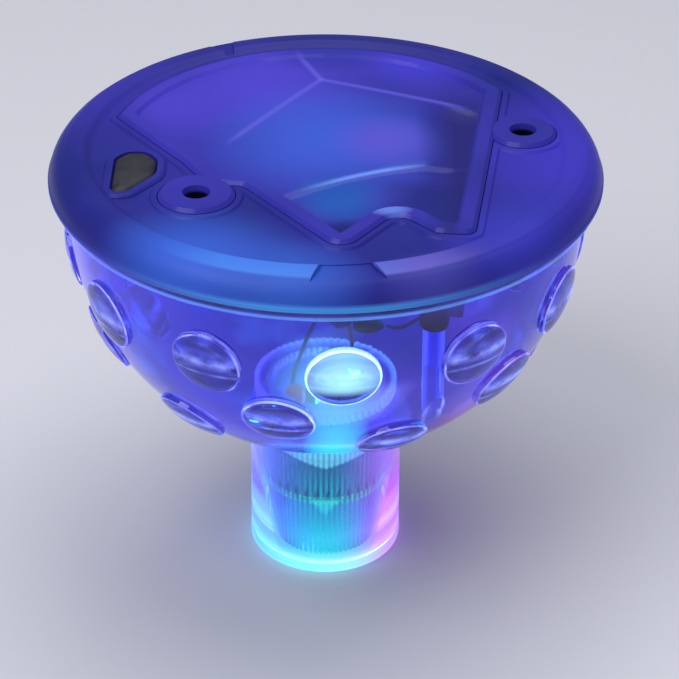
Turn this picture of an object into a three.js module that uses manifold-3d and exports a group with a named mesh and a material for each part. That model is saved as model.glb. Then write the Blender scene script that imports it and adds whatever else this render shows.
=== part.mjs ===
// Floating pool light: a clear lens bowl on a hollow stem, closed by a frosted cap with a sealed battery
// compartment. Millimetres, +Z up, origin at the centre of the stem's foot. -Y is the front.
import * as THREE from 'three';
import { mergeVertices } from 'three/addons/utils/BufferGeometryUtils.js';
import Module from 'manifold-3d';

const wasm = await Module();
wasm.setup();

// Driving dimensions of the envelope
const RIM_R = 64;            // outer radius of the cap's skirt
const TOTAL_H = 110;         // foot to the highest point of the cap
const BOWL_R = 60;           // outer radius of the hemispherical bowl
const BOWL_Z = 96;           // height of the hemisphere's centre
const BOWL_WALL = 2;
const STEM_R = 18.6;         // outer radius of the stem
const STEM_WALL = 2;
const STEM_IN = STEM_R - STEM_WALL;
const GAP = 0.3;             // air left between pieces that touch
const NECK_Z = BOWL_Z - Math.sqrt(BOWL_R ** 2 - STEM_R ** 2);   // where the bowl meets the stem

// Heights in the cap
const SKIRT_Z = 102.5;       // lower edge of the skirt
const WEB_TOP = 108.6;       // flat top of the cap, inside the shoulder
const WEB_UNDER = 106.2;
const LEDGE_Z = 105.4;       // ledge that the door gasket lies on
const TUB_FLOOR = 95;        // inner floor of the battery compartment
const TUB_UNDER = 93.4;

// The battery door, the cells and both door screws sit square to an axis turned from the Y axis
const TURN = THREE.MathUtils.degToRad(-7.9);
const SCREW_LEFT = [-25.1, -27.7];
const SCREW_RIGHT = [44.3, 13.2];
const EARS = [{ at: SCREW_LEFT, radius: 8.6 }, { at: SCREW_RIGHT, radius: 7.8 }];

// Standard parts
const CELL_R = 5.25;         // AAA cell
const CELL_LENGTH = 44.5;
const CELL_PITCH = 12.4;
const CELL_MID = [9.6, 9];   // middle of the row of cells, in the door's turned axes
const LED_R = 2.5;

const group = new THREE.Group();

// ---------- materials ----------
function finish(color, roughness, metalness = 0, opacity = 1) {
  return new THREE.MeshStandardMaterial({ color, roughness, metalness, opacity, transparent: opacity < 1 });
}

const clear = finish(0xd8e0ff, 0.05, 0, 0.3);
const frosted = finish(0x5a58d8, 0.4, 0, 0.85);
const blackRubber = finish(0x101012, 0.7);
const greyRubber = finish(0x3a3a34, 0.75);
const steel = finish(0xb8b8bc, 0.35, 1);
const cellWrap = finish(0x2e7d4f, 0.35);
const circuitBoard = finish(0x1f6b3a, 0.5);
const blackPlastic = finish(0x17171a, 0.45);
const whitePlastic = finish(0xe8e8ea, 0.5);
const redWire = finish(0xb01818, 0.45);
const beige = finish(0xcdb894, 0.5);

// ---------- geometry helpers ----------
function add(name, geometry, material) {
  const mesh = new THREE.Mesh(geometry, material);
  mesh.name = name;
  group.add(mesh);
  return mesh;
}

// A closed three.js geometry as a manifold solid, its doubled vertices joined and flat slivers dropped
function solid(geometry) {
  const bare = geometry.clone();
  bare.deleteAttribute('normal');
  bare.deleteAttribute('uv');
  const merged = mergeVertices(bare, 1e-4);
  const index = Array.from(merged.index.array);
  const kept = [];
  for (let i = 0; i < index.length; i += 3) {
    const [a, b, c] = index.slice(i, i + 3);
    if (a !== b && b !== c && c !== a) kept.push(a, b, c);
  }
  const vertProperties = new Float32Array(merged.attributes.position.array);
  return new wasm.Manifold(new wasm.Mesh({ numProp: 3, vertProperties, triVerts: new Uint32Array(kept) }));
}

function geometryOf(manifold) {
  const mesh = manifold.getMesh();
  const geometry = new THREE.BufferGeometry();
  geometry.setAttribute('position', new THREE.BufferAttribute(new Float32Array(mesh.vertProperties), 3));
  geometry.setIndex(new THREE.BufferAttribute(new Uint32Array(mesh.triVerts), 1));
  return geometry;
}

// A turned solid from a closed profile of [radius, height] points, listed anticlockwise
function lathe(profile, segments = 48) {
  const closed = profile[0][0] === 0 ? profile : [...profile, profile[0]];
  const geometry = new THREE.LatheGeometry(closed.map(([r, z]) => new THREE.Vector2(r, z)), segments);
  return geometry.rotateX(Math.PI / 2);
}

function ring(inner, outer, low, high, segments = 48) {
  return lathe([[inner, low], [outer, low], [outer, high], [inner, high]], segments);
}

function disc(radius, low, high, at = [0, 0], segments = 24) {
  const geometry = new THREE.CylinderGeometry(radius, radius, high - low, segments);
  return geometry.rotateX(Math.PI / 2).translate(at[0], at[1], (low + high) / 2);
}

function block(low, high) {
  const size = high.map((v, i) => v - low[i]);
  return new THREE.BoxGeometry(...size).translate(...low.map((v, i) => v + size[i] / 2));
}

// Points of a closed outline of [x, y, corner radius], anticlockwise, its sides moved inwards by inset
function outline(corners, inset = 0, steps = 3) {
  const count = corners.length;
  const sides = corners.map(([x, y], i) => {
    const [nx, ny] = corners[(i + 1) % count];
    const length = Math.hypot(nx - x, ny - y);
    const [dx, dy] = [(nx - x) / length, (ny - y) / length];
    return { x: x - dy * inset, y: y + dx * inset, dx, dy };
  });
  const points = [];
  for (let i = 0; i < count; i++) {
    const from = sides[(i + count - 1) % count];
    const to = sides[i];
    const cross = from.dx * to.dy - from.dy * to.dx;
    const along = ((to.x - from.x) * to.dy - (to.y - from.y) * to.dx) / cross;
    const corner = [from.x + from.dx * along, from.y + from.dy * along];
    const radius = corners[i][2] === 0 ? 0 : Math.max(corners[i][2] - inset * Math.sign(cross), 0.4);
    if (radius === 0) {
      points.push(corner);
      continue;
    }
    const angle = Math.atan2(cross, from.dx * to.dx + from.dy * to.dy);
    const cut = radius * Math.tan(Math.abs(angle) / 2);
    const side = Math.sign(angle);
    const start = [corner[0] - from.dx * cut, corner[1] - from.dy * cut];
    const centre = [start[0] - from.dy * radius * side, start[1] + from.dx * radius * side];
    for (let k = 0; k <= steps; k++) {
      const turn = (angle * k) / steps;
      const [ox, oy] = [start[0] - centre[0], start[1] - centre[1]];
      points.push([
        centre[0] + ox * Math.cos(turn) - oy * Math.sin(turn),
        centre[1] + ox * Math.sin(turn) + oy * Math.cos(turn),
      ]);
    }
  }
  return points;
}

function prism(points, low, high, holes = []) {
  const shape = new THREE.Shape(points.map(([x, y]) => new THREE.Vector2(x, y)));
  for (const hole of holes) shape.holes.push(new THREE.Path(hole.map(([x, y]) => new THREE.Vector2(x, y))));
  const geometry = new THREE.ExtrudeGeometry(shape, { depth: high - low, bevelEnabled: false });
  return geometry.translate(0, 0, low);
}

// A round wire or bead along a smooth curve through the given points
function wire(points, radius, sides = 6, stepsPerPoint = 3) {
  const path = new THREE.CatmullRomCurve3(points.map((p) => new THREE.Vector3(...p)), false, 'centripetal');
  const section = new THREE.Shape();
  for (let i = 0; i < sides; i++) {
    const angle = (i / sides) * 2 * Math.PI;
    const [x, y] = [radius * Math.cos(angle), radius * Math.sin(angle)];
    if (i === 0) section.moveTo(x, y);
    else section.lineTo(x, y);
  }
  const steps = (points.length - 1) * stepsPerPoint;
  return new THREE.ExtrudeGeometry(section, { steps, extrudePath: path, bevelEnabled: false, curveSegments: 1 });
}

function arc(radius, from, to, steps, centre = [0, 0]) {
  return Array.from({ length: steps + 1 }, (_, i) => {
    const angle = THREE.MathUtils.degToRad(from + ((to - from) * i) / steps);
    return [centre[0] + radius * Math.cos(angle), centre[1] + radius * Math.sin(angle)];
  });
}

const turned = (geometry) => geometry.rotateZ(TURN);

function turnedPoint([u, v]) {
  return [u * Math.cos(TURN) - v * Math.sin(TURN), u * Math.sin(TURN) + v * Math.cos(TURN)];
}

// ---------- clear bowl ----------
// One clear moulding: hemisphere, lip, three inner posts and rings of lens bumps on its outside. Its neck is
// bonded to the top of the stem tube.
const LIP_R = 62.9;
const LIP_LOW = 99.9;
const LIP_TOP = 101.9;
const POST_RING_R = 50.1;
const POST_R = 2.4;
const POST_TOP = 90.6;
const POST_ANGLES = [-61.8, 58.2, 178.2];          // degrees from +X; the first stands at the front right
const BUMP_R = 8.4;
const BUMP_ROWS = [                          // degrees round from the front, and below the widest ring
  { first: 4, below: 12, count: 12 },
  { first: -11, below: 27.5, count: 6 },
  { first: 19, below: 39.5, count: 6 },
];

function clearBowl() {
  const inner = BOWL_R - BOWL_WALL;
  const outerFrom = THREE.MathUtils.radToDeg(Math.acos(STEM_R / BOWL_R));
  const innerFrom = THREE.MathUtils.radToDeg(Math.acos(STEM_IN / inner));
  const profile = [
    [STEM_IN, NECK_Z],
    ...arc(BOWL_R, -outerFrom, 0, 10, [0, BOWL_Z]),
    [BOWL_R, LIP_LOW - 0.6], [LIP_R, LIP_LOW], [LIP_R, LIP_TOP], [inner, LIP_TOP],
    ...arc(inner, 0, -innerFrom, 10, [0, BOWL_Z]),
  ];
  let body = solid(lathe(profile, 44));
  const sag = BOWL_R - Math.sqrt(BOWL_R ** 2 - BUMP_R ** 2);
  const lens = lathe([[0, -sag - 0.8], [BUMP_R, -sag - 0.8], [BUMP_R, -sag + 0.3], [BUMP_R * 0.7, 1.1],
    [0, 1.6]], 12);
  for (const { first, below, count } of BUMP_ROWS) {
    for (let i = 0; i < count; i++) {
      const round = THREE.MathUtils.degToRad(first + (i * 360) / count - 90);
      const down = THREE.MathUtils.degToRad(-below);
      const out = new THREE.Vector3(Math.cos(round) * Math.cos(down), Math.sin(round) * Math.cos(down),
        Math.sin(down));
      const bump = lens.clone();
      bump.applyQuaternion(new THREE.Quaternion().setFromUnitVectors(new THREE.Vector3(0, 0, 1), out));
      bump.translate(out.x * BOWL_R, out.y * BOWL_R, BOWL_Z + out.z * BOWL_R);
      body = body.add(solid(bump));
    }
  }
  const inside = solid(new THREE.SphereGeometry(BOWL_R - 0.7, 40, 30).translate(0, 0, BOWL_Z));
  for (const angle of POST_ANGLES) {
    const at = arc(POST_RING_R, angle, angle, 1)[0];
    body = body.add(solid(disc(POST_R, 50, POST_TOP, at, 12)).intersect(inside));
  }
  return geometryOf(body);
}
add('clear_bowl', clearBowl(), clear);

// ---------- stem tube ----------
const STEM_FLOOR = 2.6;
const stemTop = NECK_Z - GAP;
add('stem_tube', lathe([[0, 0], [STEM_R - 1, 0], [STEM_R, 1], [STEM_R, stemTop], [STEM_IN, stemTop],
  [STEM_IN, STEM_FLOOR], [0, STEM_FLOOR]], 40), clear);

// ---------- rim gasket ----------
const SEAT_Z = LIP_TOP + 2.2;
add('rim_gasket', ring(58.6, 62.2, LIP_TOP + GAP, SEAT_Z - GAP, 48), blackRubber);

// ---------- battery door outline and the openings it needs ----------
// In the turned axes: a waved front edge, a straight right side and a round back and left side.
const DOOR = [
  [10.1, -47.7, 4], [19.8, -29.1, 4], [29.5, -37, 4], [37.8, -36.5, 2.5], [37.8, 34.2, 3],
  ...arc(51, 52, 172, 12).map(([x, y]) => [x, y, 0]),
  [-31, -13, 5], [-24, -22, 0], [-15.5, -22, 3],
];

function doorShape(inset, low, high, withEars = true) {
  let shape = solid(prism(outline(DOOR, inset), low, high));
  if (withEars) {
    for (const { at, radius } of EARS) shape = shape.add(solid(disc(radius - inset, low, high, at, 28)));
  }
  return shape;
}

// Inside of the battery compartment: the door's outline drawn in, and closed off to the left of the cells
const TUB_INSET = 4.6;
const TUB_LEFT = -13;
const TUB_BACK = 37.4;
const TIP_FLOOR = 89.2;             // the compartment is deeper in the tip of its front, for the wires' way out
const TIP_UNDER = 87.6;
const TIP_BACK = -33;

function tubShape(grow, low, high, back = TUB_BACK) {
  const limit = solid(block([TUB_LEFT - grow, -60, low - 1], [60, back + grow, high + 1]));
  return solid(prism(outline(DOOR, TUB_INSET - grow), low, high)).intersect(limit);
}

// The button's outline, a D with its flat side to the left and its lower right corner drawn in
const BUTTON_AT = [-43.2, -12.8];
const BUTTON = [[-4.6, -9.6, 1.6], [-1.4, -9.8, 2.4], [4.7, -1.5, 4.5], [4.7, 5, 3], [2.2, 8.6, 3.5],
  [-2.2, 8.6, 3.5], [-4.6, 5.5, 3]];
const buttonPoints = (inset) => outline(BUTTON, inset).map(([x, y]) => [x + BUTTON_AT[0], y + BUTTON_AT[1]]);

// ---------- frosted top cover ----------
const BOSS_BORE = 1.85;
const BOSS_R = 7;
const EAR_POCKET_R = 5.4;
const EAR_POCKET_Z = 100.9;
const BOSS_UNDER = 93.4;
const PARTITION_V = [-17.6, 35.6];          // walls at the front and back ends of the cells

function topCover() {
  const profile = [
    [0, WEB_UNDER], [55, WEB_UNDER], [55, 98.5], [57.5, 98.5], [57.5, SEAT_Z], [62.8, SEAT_Z],
    [62.8, SKIRT_Z], [RIM_R, SKIRT_Z], [63.8, 104], [63.3, 105.5], [62.4, 107.1], [61, 108.5],
    [58.6, 109.5], [56, TOTAL_H], [55.2, TOTAL_H], [54.8, WEB_TOP], [0, WEB_TOP],
  ];
  let body = solid(lathe(profile, 60));
  body = body.add(solid(prism(buttonPoints(-2.2), WEB_TOP - 0.5, 109.4)));

  // bosses above the bowl's posts
  for (const angle of POST_ANGLES) {
    const at = arc(POST_RING_R, angle, angle, 1)[0];
    body = body.add(solid(disc(3.2, POST_TOP + 4, WEB_UNDER + 0.5, at, 16)));
  }

  // the frame under the door, the compartment and the two screw bosses, in the turned axes
  let frame = doorShape(-1.6, LEDGE_Z - 1.8, WEB_UNDER + 1);
  frame = frame.add(tubShape(2, TUB_UNDER, LEDGE_Z - 0.5));
  frame = frame.add(tubShape(2, TIP_UNDER, TUB_UNDER + 1, TIP_BACK));
  for (const { at } of EARS) frame = frame.add(solid(disc(BOSS_R, BOSS_UNDER, LEDGE_Z - 0.5, at, 24)));
  let cut = doorShape(-0.4, LEDGE_Z, TOTAL_H + 1);
  cut = cut.add(tubShape(0, TUB_FLOOR, LEDGE_Z + 1));
  cut = cut.add(tubShape(0, TIP_FLOOR, TUB_FLOOR + 1, TIP_BACK));
  for (const { at } of EARS) {
    cut = cut.add(solid(disc(EAR_POCKET_R, EAR_POCKET_Z, LEDGE_Z + 1, at, 20)));
    cut = cut.add(solid(disc(BOSS_BORE, BOSS_UNDER + 1.5, EAR_POCKET_Z + 1, at, 16)));
  }
  body = body.add(frame.rotate([0, 0, THREE.MathUtils.radToDeg(TURN)]));
  body = body.subtract(cut.rotate([0, 0, THREE.MathUtils.radToDeg(TURN)]));
  body = body.subtract(solid(prism(buttonPoints(-0.4), 100, TOTAL_H + 1)));
  body = body.subtract(solid(prism(buttonPoints(-1.2), 100, WEB_UNDER)));

  // end walls and cradle ribs that hold the cells
  const [cu, cv] = CELL_MID;
  for (const v of PARTITION_V) {
    body = body.add(solid(turned(block([TUB_LEFT - 1, v - 0.8, TUB_FLOOR - 1], [34.2, v + 0.8, 104.4]))));
  }
  for (const side of [-0.5, 0.5]) {
    const u = cu + side * CELL_PITCH;
    const rib = block([u - 0.5, cv - 14, TUB_FLOOR - 1], [u + 0.5, cv + 14, TUB_FLOOR + 3.2]);
    body = body.add(solid(turned(rib)));
  }
  return geometryOf(body);
}
add('top_cover', topCover(), frosted);

// ---------- battery door ----------
const DOOR_UNDER = 106.7;
const DOOR_TOP = 108.6;
const EAR_UNDER = 101.3;
const EAR_FLOOR = 102.7;
const HEAD_BORE = 2.9;
const RIB_W = 4;

function batteryDoor() {
  let door = doorShape(0, DOOR_UNDER, TOTAL_H);
  door = door.subtract(solid(prism(outline(DOOR, RIB_W), DOOR_TOP, TOTAL_H + 1)));
  for (const { at } of EARS) {
    door = door.add(solid(disc(EAR_POCKET_R - 0.5, EAR_UNDER, DOOR_UNDER + 1, at, 20)));
    door = door.subtract(solid(disc(HEAD_BORE, EAR_FLOOR, TOTAL_H + 1, at, 20)));
    door = door.subtract(solid(disc(BOSS_BORE, EAR_UNDER - 1, EAR_FLOOR + 1, at, 16)));
  }
  return turned(geometryOf(door));
}
add('battery_door', batteryDoor(), frosted);

const gasketIn = outline(DOOR, 3.2);
const gasketOut = outline(DOOR, 1);
const gasketHigh = DOOR_UNDER - GAP;
add('door_gasket', turned(prism(gasketOut, LEDGE_Z + GAP, gasketHigh, [gasketIn])), blackRubber);

// ---------- door screws and their seals ----------
const HEAD_LOW = EAR_FLOOR + 1.3;
const HEAD_HIGH = HEAD_LOW + 1.9;

function doorScrew(at) {
  const profile = [[0, 96.5], [0.9, 96.5], [1.45, 97.6], [1.45, HEAD_LOW], [2.55, HEAD_LOW],
    [2.55, HEAD_HIGH - 0.6], [1.9, HEAD_HIGH], [0, HEAD_HIGH]];
  let screw = solid(lathe(profile, 20));
  for (const [x, y] of [[1.5, 0.32], [0.32, 1.5]]) {
    screw = screw.subtract(solid(block([-x, -y, HEAD_HIGH - 1.1], [x, y, HEAD_HIGH + 1])));
  }
  return geometryOf(screw).translate(...turnedPoint(at), 0);
}

for (const [side, at] of [['left', SCREW_LEFT], ['right', SCREW_RIGHT]]) {
  add(`door_screw_${side}`, doorScrew(at), steel);
  const seal = ring(1.65, 2.5, EAR_FLOOR + GAP, HEAD_LOW - GAP, 20).translate(...turnedPoint(at), 0);
  add(`screw_seal_${side}`, seal, blackRubber);
}

// ---------- cells and their contacts ----------
// The cells alternate end for end, each between a coil spring and a plate.
const CELL_Z = TUB_FLOOR + 0.4 + CELL_R;
const NUB = 1.1;
const SPRING_LENGTH = 2.2;

for (let i = 0; i < 3; i++) {
  const u = CELL_MID[0] + (i - 1) * CELL_PITCH;
  const way = i % 2 === 0 ? 1 : -1;
  const half = CELL_LENGTH / 2;
  const cell = lathe([[0, -half], [CELL_R - 0.5, -half], [CELL_R, -half + 0.5], [CELL_R, half - NUB - 0.5],
    [CELL_R - 0.6, half - NUB], [1.9, half - NUB], [1.9, half], [0, half]], 20);
  cell.rotateX(-way * (Math.PI / 2)).translate(u, CELL_MID[1], CELL_Z);
  add(`aaa_cell_${i + 1}`, turned(cell), cellWrap);

  const plateV = CELL_MID[1] + way * (half + GAP);
  const plate = block([u - 4, Math.min(plateV, plateV + way * 0.5), CELL_Z - 3.5],
    [u + 4, Math.max(plateV, plateV + way * 0.5), CELL_Z + 3.5]);
  add(`contact_plate_${i + 1}`, turned(plate), steel);

  const springV = CELL_MID[1] - way * (half + GAP + 0.3);
  const turns = 2.5;
  const points = Array.from({ length: 21 }, (_, k) => {
    const angle = (k / 20) * turns * 2 * Math.PI;
    const radius = 1.7 + 1.4 * (k / 20);
    return [u + radius * Math.cos(angle), springV - way * SPRING_LENGTH * (k / 20), CELL_Z + radius * Math.sin(angle)];
  });
  add(`contact_spring_${i + 1}`, turned(wire(points, 0.3, 5, 1)), steel);
}

// ---------- push button, switch and the carrier under it ----------
const FLANGE_TOP = WEB_UNDER - 0.4;
const FLANGE_UNDER = FLANGE_TOP - 1.2;
const BUTTON_TOP = 109.8;
const PUSH_POST_UNDER = 98.9;
const PLUNGER_TOP = PUSH_POST_UNDER - 0.8;
const PLUNGER_R = 1.5;
const SWITCH_TOP = 96.6;
const SWITCH_UNDER = 93;
const BOARD_UNDER = 91.5;

function pushButton() {
  let button = solid(prism(buttonPoints(0), FLANGE_UNDER, BUTTON_TOP - 0.8));
  button = button.add(solid(prism(buttonPoints(0.8), BUTTON_TOP - 1.2, BUTTON_TOP)));
  button = button.add(solid(prism(buttonPoints(-0.8), FLANGE_UNDER, FLANGE_TOP)));
  return geometryOf(button.add(solid(disc(2.2, PUSH_POST_UNDER, FLANGE_UNDER + 1, BUTTON_AT, 16))));
}
add('push_button', pushButton(), greyRubber);
add('switch_plunger', disc(PLUNGER_R, SWITCH_TOP - 0.8, PLUNGER_TOP, BUTTON_AT, 16), blackPlastic);

function aroundButton(x, y, low, high) {
  const [cx, cy] = BUTTON_AT;
  return block([cx - x, cy - y, low], [cx + x, cy + y, high]);
}
const plungerBore = solid(disc(PLUNGER_R + GAP, SWITCH_TOP - 1.6, SWITCH_TOP + 1, BUTTON_AT, 16));
const switchBody = solid(aroundButton(3, 3, SWITCH_UNDER, SWITCH_TOP)).subtract(plungerBore);
add('switch_body', geometryOf(switchBody), blackPlastic);
add('switch_board', aroundButton(4.6, 6.2, BOARD_UNDER, SWITCH_UNDER - 0.2), circuitBoard);

function switchCarrier() {
  const [cx, cy] = BUTTON_AT;
  let carrier = solid(aroundButton(5, 8.2, BOARD_UNDER - 2, BOARD_UNDER - GAP));
  for (const side of [-1, 1]) {
    const near = cy + side * 6.6;
    const far = cy + side * 8.2;
    const leg = block([cx - 3, Math.min(near, far), BOARD_UNDER - 2], [cx + 3, Math.max(near, far), 103.2]);
    carrier = carrier.add(solid(leg));
  }
  return geometryOf(carrier);
}
add('switch_carrier', switchCarrier(), whitePlastic);

// ---------- light cup in the stem ----------
// A clear cup with fine upright flutes, a toothed flange at its top and a cone-shaped floor.
const CUP_R = 14.6;
const CUP_IN = 12.8;
const CUP_UNDER = 3;
const CUP_TOP = 46;
const FLANGE_R = 17.5;
const FLANGE_Z = 42.6;
const FLUTES = 32;
const TEETH = 48;
const CONE_EDGE_Z = 20;
const CONE_TIP_Z = 11;
const BOARD_Z = 33;

function toothed(count, high, low) {
  return Array.from({ length: count * 2 }, (_, i) => {
    const angle = (i / (count * 2)) * 2 * Math.PI;
    const radius = i % 2 === 0 ? high : low;
    return [radius * Math.cos(angle), radius * Math.sin(angle)];
  });
}

function lightCup() {
  let cup = solid(prism(toothed(FLUTES, CUP_R, CUP_R - 0.5), CUP_UNDER, FLANGE_Z + 1));
  cup = cup.add(solid(prism(toothed(TEETH, FLANGE_R, FLANGE_R - 0.9), FLANGE_Z, CUP_TOP)));
  const hollow = lathe([[0, CONE_TIP_Z], [CUP_IN, CONE_EDGE_Z], [CUP_IN, BOARD_Z - 2], [11.4, BOARD_Z - 1.4],
    [11.4, BOARD_Z - GAP], [CUP_IN, BOARD_Z - GAP], [CUP_IN, CUP_TOP + 1], [0, CUP_TOP + 1]], 36);
  const below = lathe([[0, CUP_UNDER - 1], [CUP_IN, CUP_UNDER - 1], [CUP_IN, CONE_EDGE_Z - 2.2],
    [0, CONE_TIP_Z - 1.8]], 36);
  return geometryOf(cup.subtract(solid(hollow)).subtract(solid(below)));
}
add('light_cup', lightCup(), clear);

// ---------- light board, its lamps and its chip ----------
add('led_board', disc(12.3, BOARD_Z, BOARD_Z + 1.2, [0, 0], 32), circuitBoard);
const LAMPS = [
  ['led_green', 0x30ff70, [0, 0]], ['led_red_1', 0xff3030, [7.4, 0]], ['led_blue_1', 0x3050ff, [0, 7.4]],
  ['led_red_2', 0xff3030, [-7.4, 0]], ['led_blue_2', 0x3050ff, [0, -7.4]],
];
const LAMP_Z = BOARD_Z + 1.5;
for (const [name, color, at] of LAMPS) {
  const lamp = lathe([[0, LAMP_Z], [LED_R + 0.4, LAMP_Z], [LED_R + 0.4, LAMP_Z + 1], [LED_R, LAMP_Z + 1],
    ...arc(LED_R, 0, 90, 4, [0, LAMP_Z + 6]).slice(0, -1), [0, LAMP_Z + 6 + LED_R]], 16);
  add(name, lamp.translate(at[0], at[1], 0), finish(color, 0.2));
}
add('control_chip', disc(3.4, BOARD_Z - 1.9, BOARD_Z - GAP, [4, 3], 16), blackPlastic);
for (const [i, y] of [-5, -8].entries()) {
  const resistor = new THREE.CapsuleGeometry(0.9, 3.4, 3, 10).rotateZ(Math.PI / 2);
  add(`resistor_${i + 1}`, resistor.translate(0, y, BOARD_Z - 1.3), beige);
}

// ---------- leads and sealant inside the bowl ----------
const tubUnder = TUB_UNDER - GAP;
const LEAD_R = 0.65;
add('battery_lead_red', wire([[5, 17, tubUnder], [5, 17, 84], [5, 14, 70], [5.5, 10, 58], [6.5, 8.5, 50],
  [8, 6.5, 42], [8.8, 5.2, BOARD_Z + 1.5]], LEAD_R), redWire);
add('battery_lead_black', wire([[-0.5, 17, tubUnder], [-0.5, 17, 84], [-0.5, 14, 70], [-2, 11, 58], [-5, 9, 50],
  [-7.8, 6.5, 42], [-8.8, 5.2, BOARD_Z + 1.5]], LEAD_R), blackPlastic);
const leadStart = BOARD_UNDER + 0.7;
for (const [name, y, material] of [['switch_lead_1', -11, redWire], ['switch_lead_2', -14.6, blackPlastic]]) {
  const first = BUTTON_AT[0] + 4.6 + GAP;
  add(name, wire([[first, y, leadStart], [first + 5, y, leadStart - 1], [-27, y, 86], [-18, y + 2, 87],
    [-10, y + 3, 91], [-8.6, y + 3, tubUnder]], LEAD_R), material);
}

// A black lead is held by sealant on the front right post and beside the tip of the compartment.
const postAt = arc(POST_RING_R, POST_ANGLES[0], POST_ANGLES[0], 1)[0];
add('post_sealant', disc(2.9, POST_TOP + GAP, POST_TOP + 3.4, postAt, 14), blackRubber);
const blobAt = [9.4, -41.9, 88.4];
const blob = new THREE.SphereGeometry(2, 12, 8).scale(1.8, 1, 0.75).translate(...blobAt);
add('wall_sealant', blob, blackRubber);
add('anchored_lead', wire([[blobAt[0] + 3.9, blobAt[1] - 0.2, blobAt[2]], [16, -43.2, 88.6], [postAt[0] - 3.4,
  postAt[1] + 0.2, 91.6]], 0.45), blackPlastic);

export default group;
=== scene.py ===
import math

import bmesh
import bpy
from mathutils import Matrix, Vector


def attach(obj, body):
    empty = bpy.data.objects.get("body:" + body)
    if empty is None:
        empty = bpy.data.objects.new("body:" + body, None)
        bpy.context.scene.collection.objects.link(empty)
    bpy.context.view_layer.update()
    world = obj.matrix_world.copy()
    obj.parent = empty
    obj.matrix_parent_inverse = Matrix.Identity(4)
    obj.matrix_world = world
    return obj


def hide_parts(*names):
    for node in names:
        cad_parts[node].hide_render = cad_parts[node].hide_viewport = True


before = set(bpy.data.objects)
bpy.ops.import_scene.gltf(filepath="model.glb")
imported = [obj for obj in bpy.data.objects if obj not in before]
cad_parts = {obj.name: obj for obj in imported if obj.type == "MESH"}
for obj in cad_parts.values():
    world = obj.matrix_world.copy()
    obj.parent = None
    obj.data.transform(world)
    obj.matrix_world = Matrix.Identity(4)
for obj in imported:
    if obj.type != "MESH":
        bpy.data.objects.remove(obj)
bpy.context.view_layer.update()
MM = 0.001


# ---------- camera, floor and light ----------
# The light stands on a plain pale floor, seen from the front and above through a long lens. Two large soft
# panels and an even sky light it.
LOOK_AT = Vector((0.0018, 0, 0.0567))
CAMERA_UP = math.radians(31.85)
CAMERA_AWAY = 0.6047
camera_data = bpy.data.cameras.new("camera")
camera_data.lens = 133.0
camera_data.sensor_width = 36
camera = bpy.data.objects.new("camera", camera_data)
bpy.context.scene.collection.objects.link(camera)
camera.location = LOOK_AT + CAMERA_AWAY * Vector((0, -math.cos(CAMERA_UP), math.sin(CAMERA_UP)))
camera.rotation_euler = (math.pi / 2 - CAMERA_UP, math.radians(-0.28), 0)
bpy.context.scene.camera = camera
bpy.context.scene.view_settings.view_transform = "Standard"

bpy.ops.object.select_all(action="DESELECT")
bpy.ops.mesh.primitive_plane_add(size=6, location=(0, 0, 0))
floor = bpy.context.object
floor.name = "floor"
floor_paint = bpy.data.materials.new("pale_floor")
floor_paint.use_nodes = True
floor_shader = floor_paint.node_tree.nodes["Principled BSDF"]
floor_shader.inputs["Base Color"].default_value = (0.62, 0.62, 0.66, 1)
floor_shader.inputs["Roughness"].default_value = 0.7
floor.data.materials.append(floor_paint)

world = bpy.data.worlds.new("sky")
world.use_nodes = True
world.node_tree.nodes["Background"].inputs["Color"].default_value = (0.75, 0.8, 1, 1)
world.node_tree.nodes["Background"].inputs["Strength"].default_value = 0.25
bpy.context.scene.world = world

for name, place, size, watts in (
    ("key_panel", (-0.5, -0.5, 0.9), 0.7, 7),
    ("top_panel", (0.1, 0.15, 1.1), 0.9, 8),
):
    panel = bpy.data.lights.new(name, "AREA")
    panel.size = size
    panel.energy = watts
    panel_object = bpy.data.objects.new(name, panel)
    bpy.context.scene.collection.objects.link(panel_object)
    panel_object.location = place
    panel_object.rotation_euler = (LOOK_AT - Vector(place)).to_track_quat("-Z", "Y").to_euler()


# ---------- clear bowl ----------
# One injection moulding in clear polystyrene: a hemisphere with a lip, three inner posts for the cap, and two
# dozen round lenses that throw the lamps' colours about. Its neck is bonded to the stem tube.
class Value:
    """A number that varies over a surface. Arithmetic on it adds the Math nodes that work it out."""

    def __init__(self, paint, socket):
        self.paint = paint
        self.socket = socket

    def _maths(self, operation, *terms):
        return self.paint.node("ShaderNodeMath", {"operation": operation}, *terms)

    def __add__(self, other):
        return self._maths("ADD", self, other)

    def __sub__(self, other):
        return self._maths("SUBTRACT", self, other)

    def __rsub__(self, other):
        return self._maths("SUBTRACT", other, self)

    def __mul__(self, other):
        return self._maths("MULTIPLY", self, other)

    def __truediv__(self, other):
        return self._maths("DIVIDE", self, other)

    def __pow__(self, other):
        return self._maths("POWER", self, other)

    def clamped(self):
        return self._maths("MINIMUM", self._maths("MAXIMUM", self, 0.0), 1.0)

    def absolute(self):
        return self._maths("ABSOLUTE", self)

    def sine(self):
        return self._maths("SINE", self)

    __radd__ = __add__
    __rmul__ = __mul__


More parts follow.
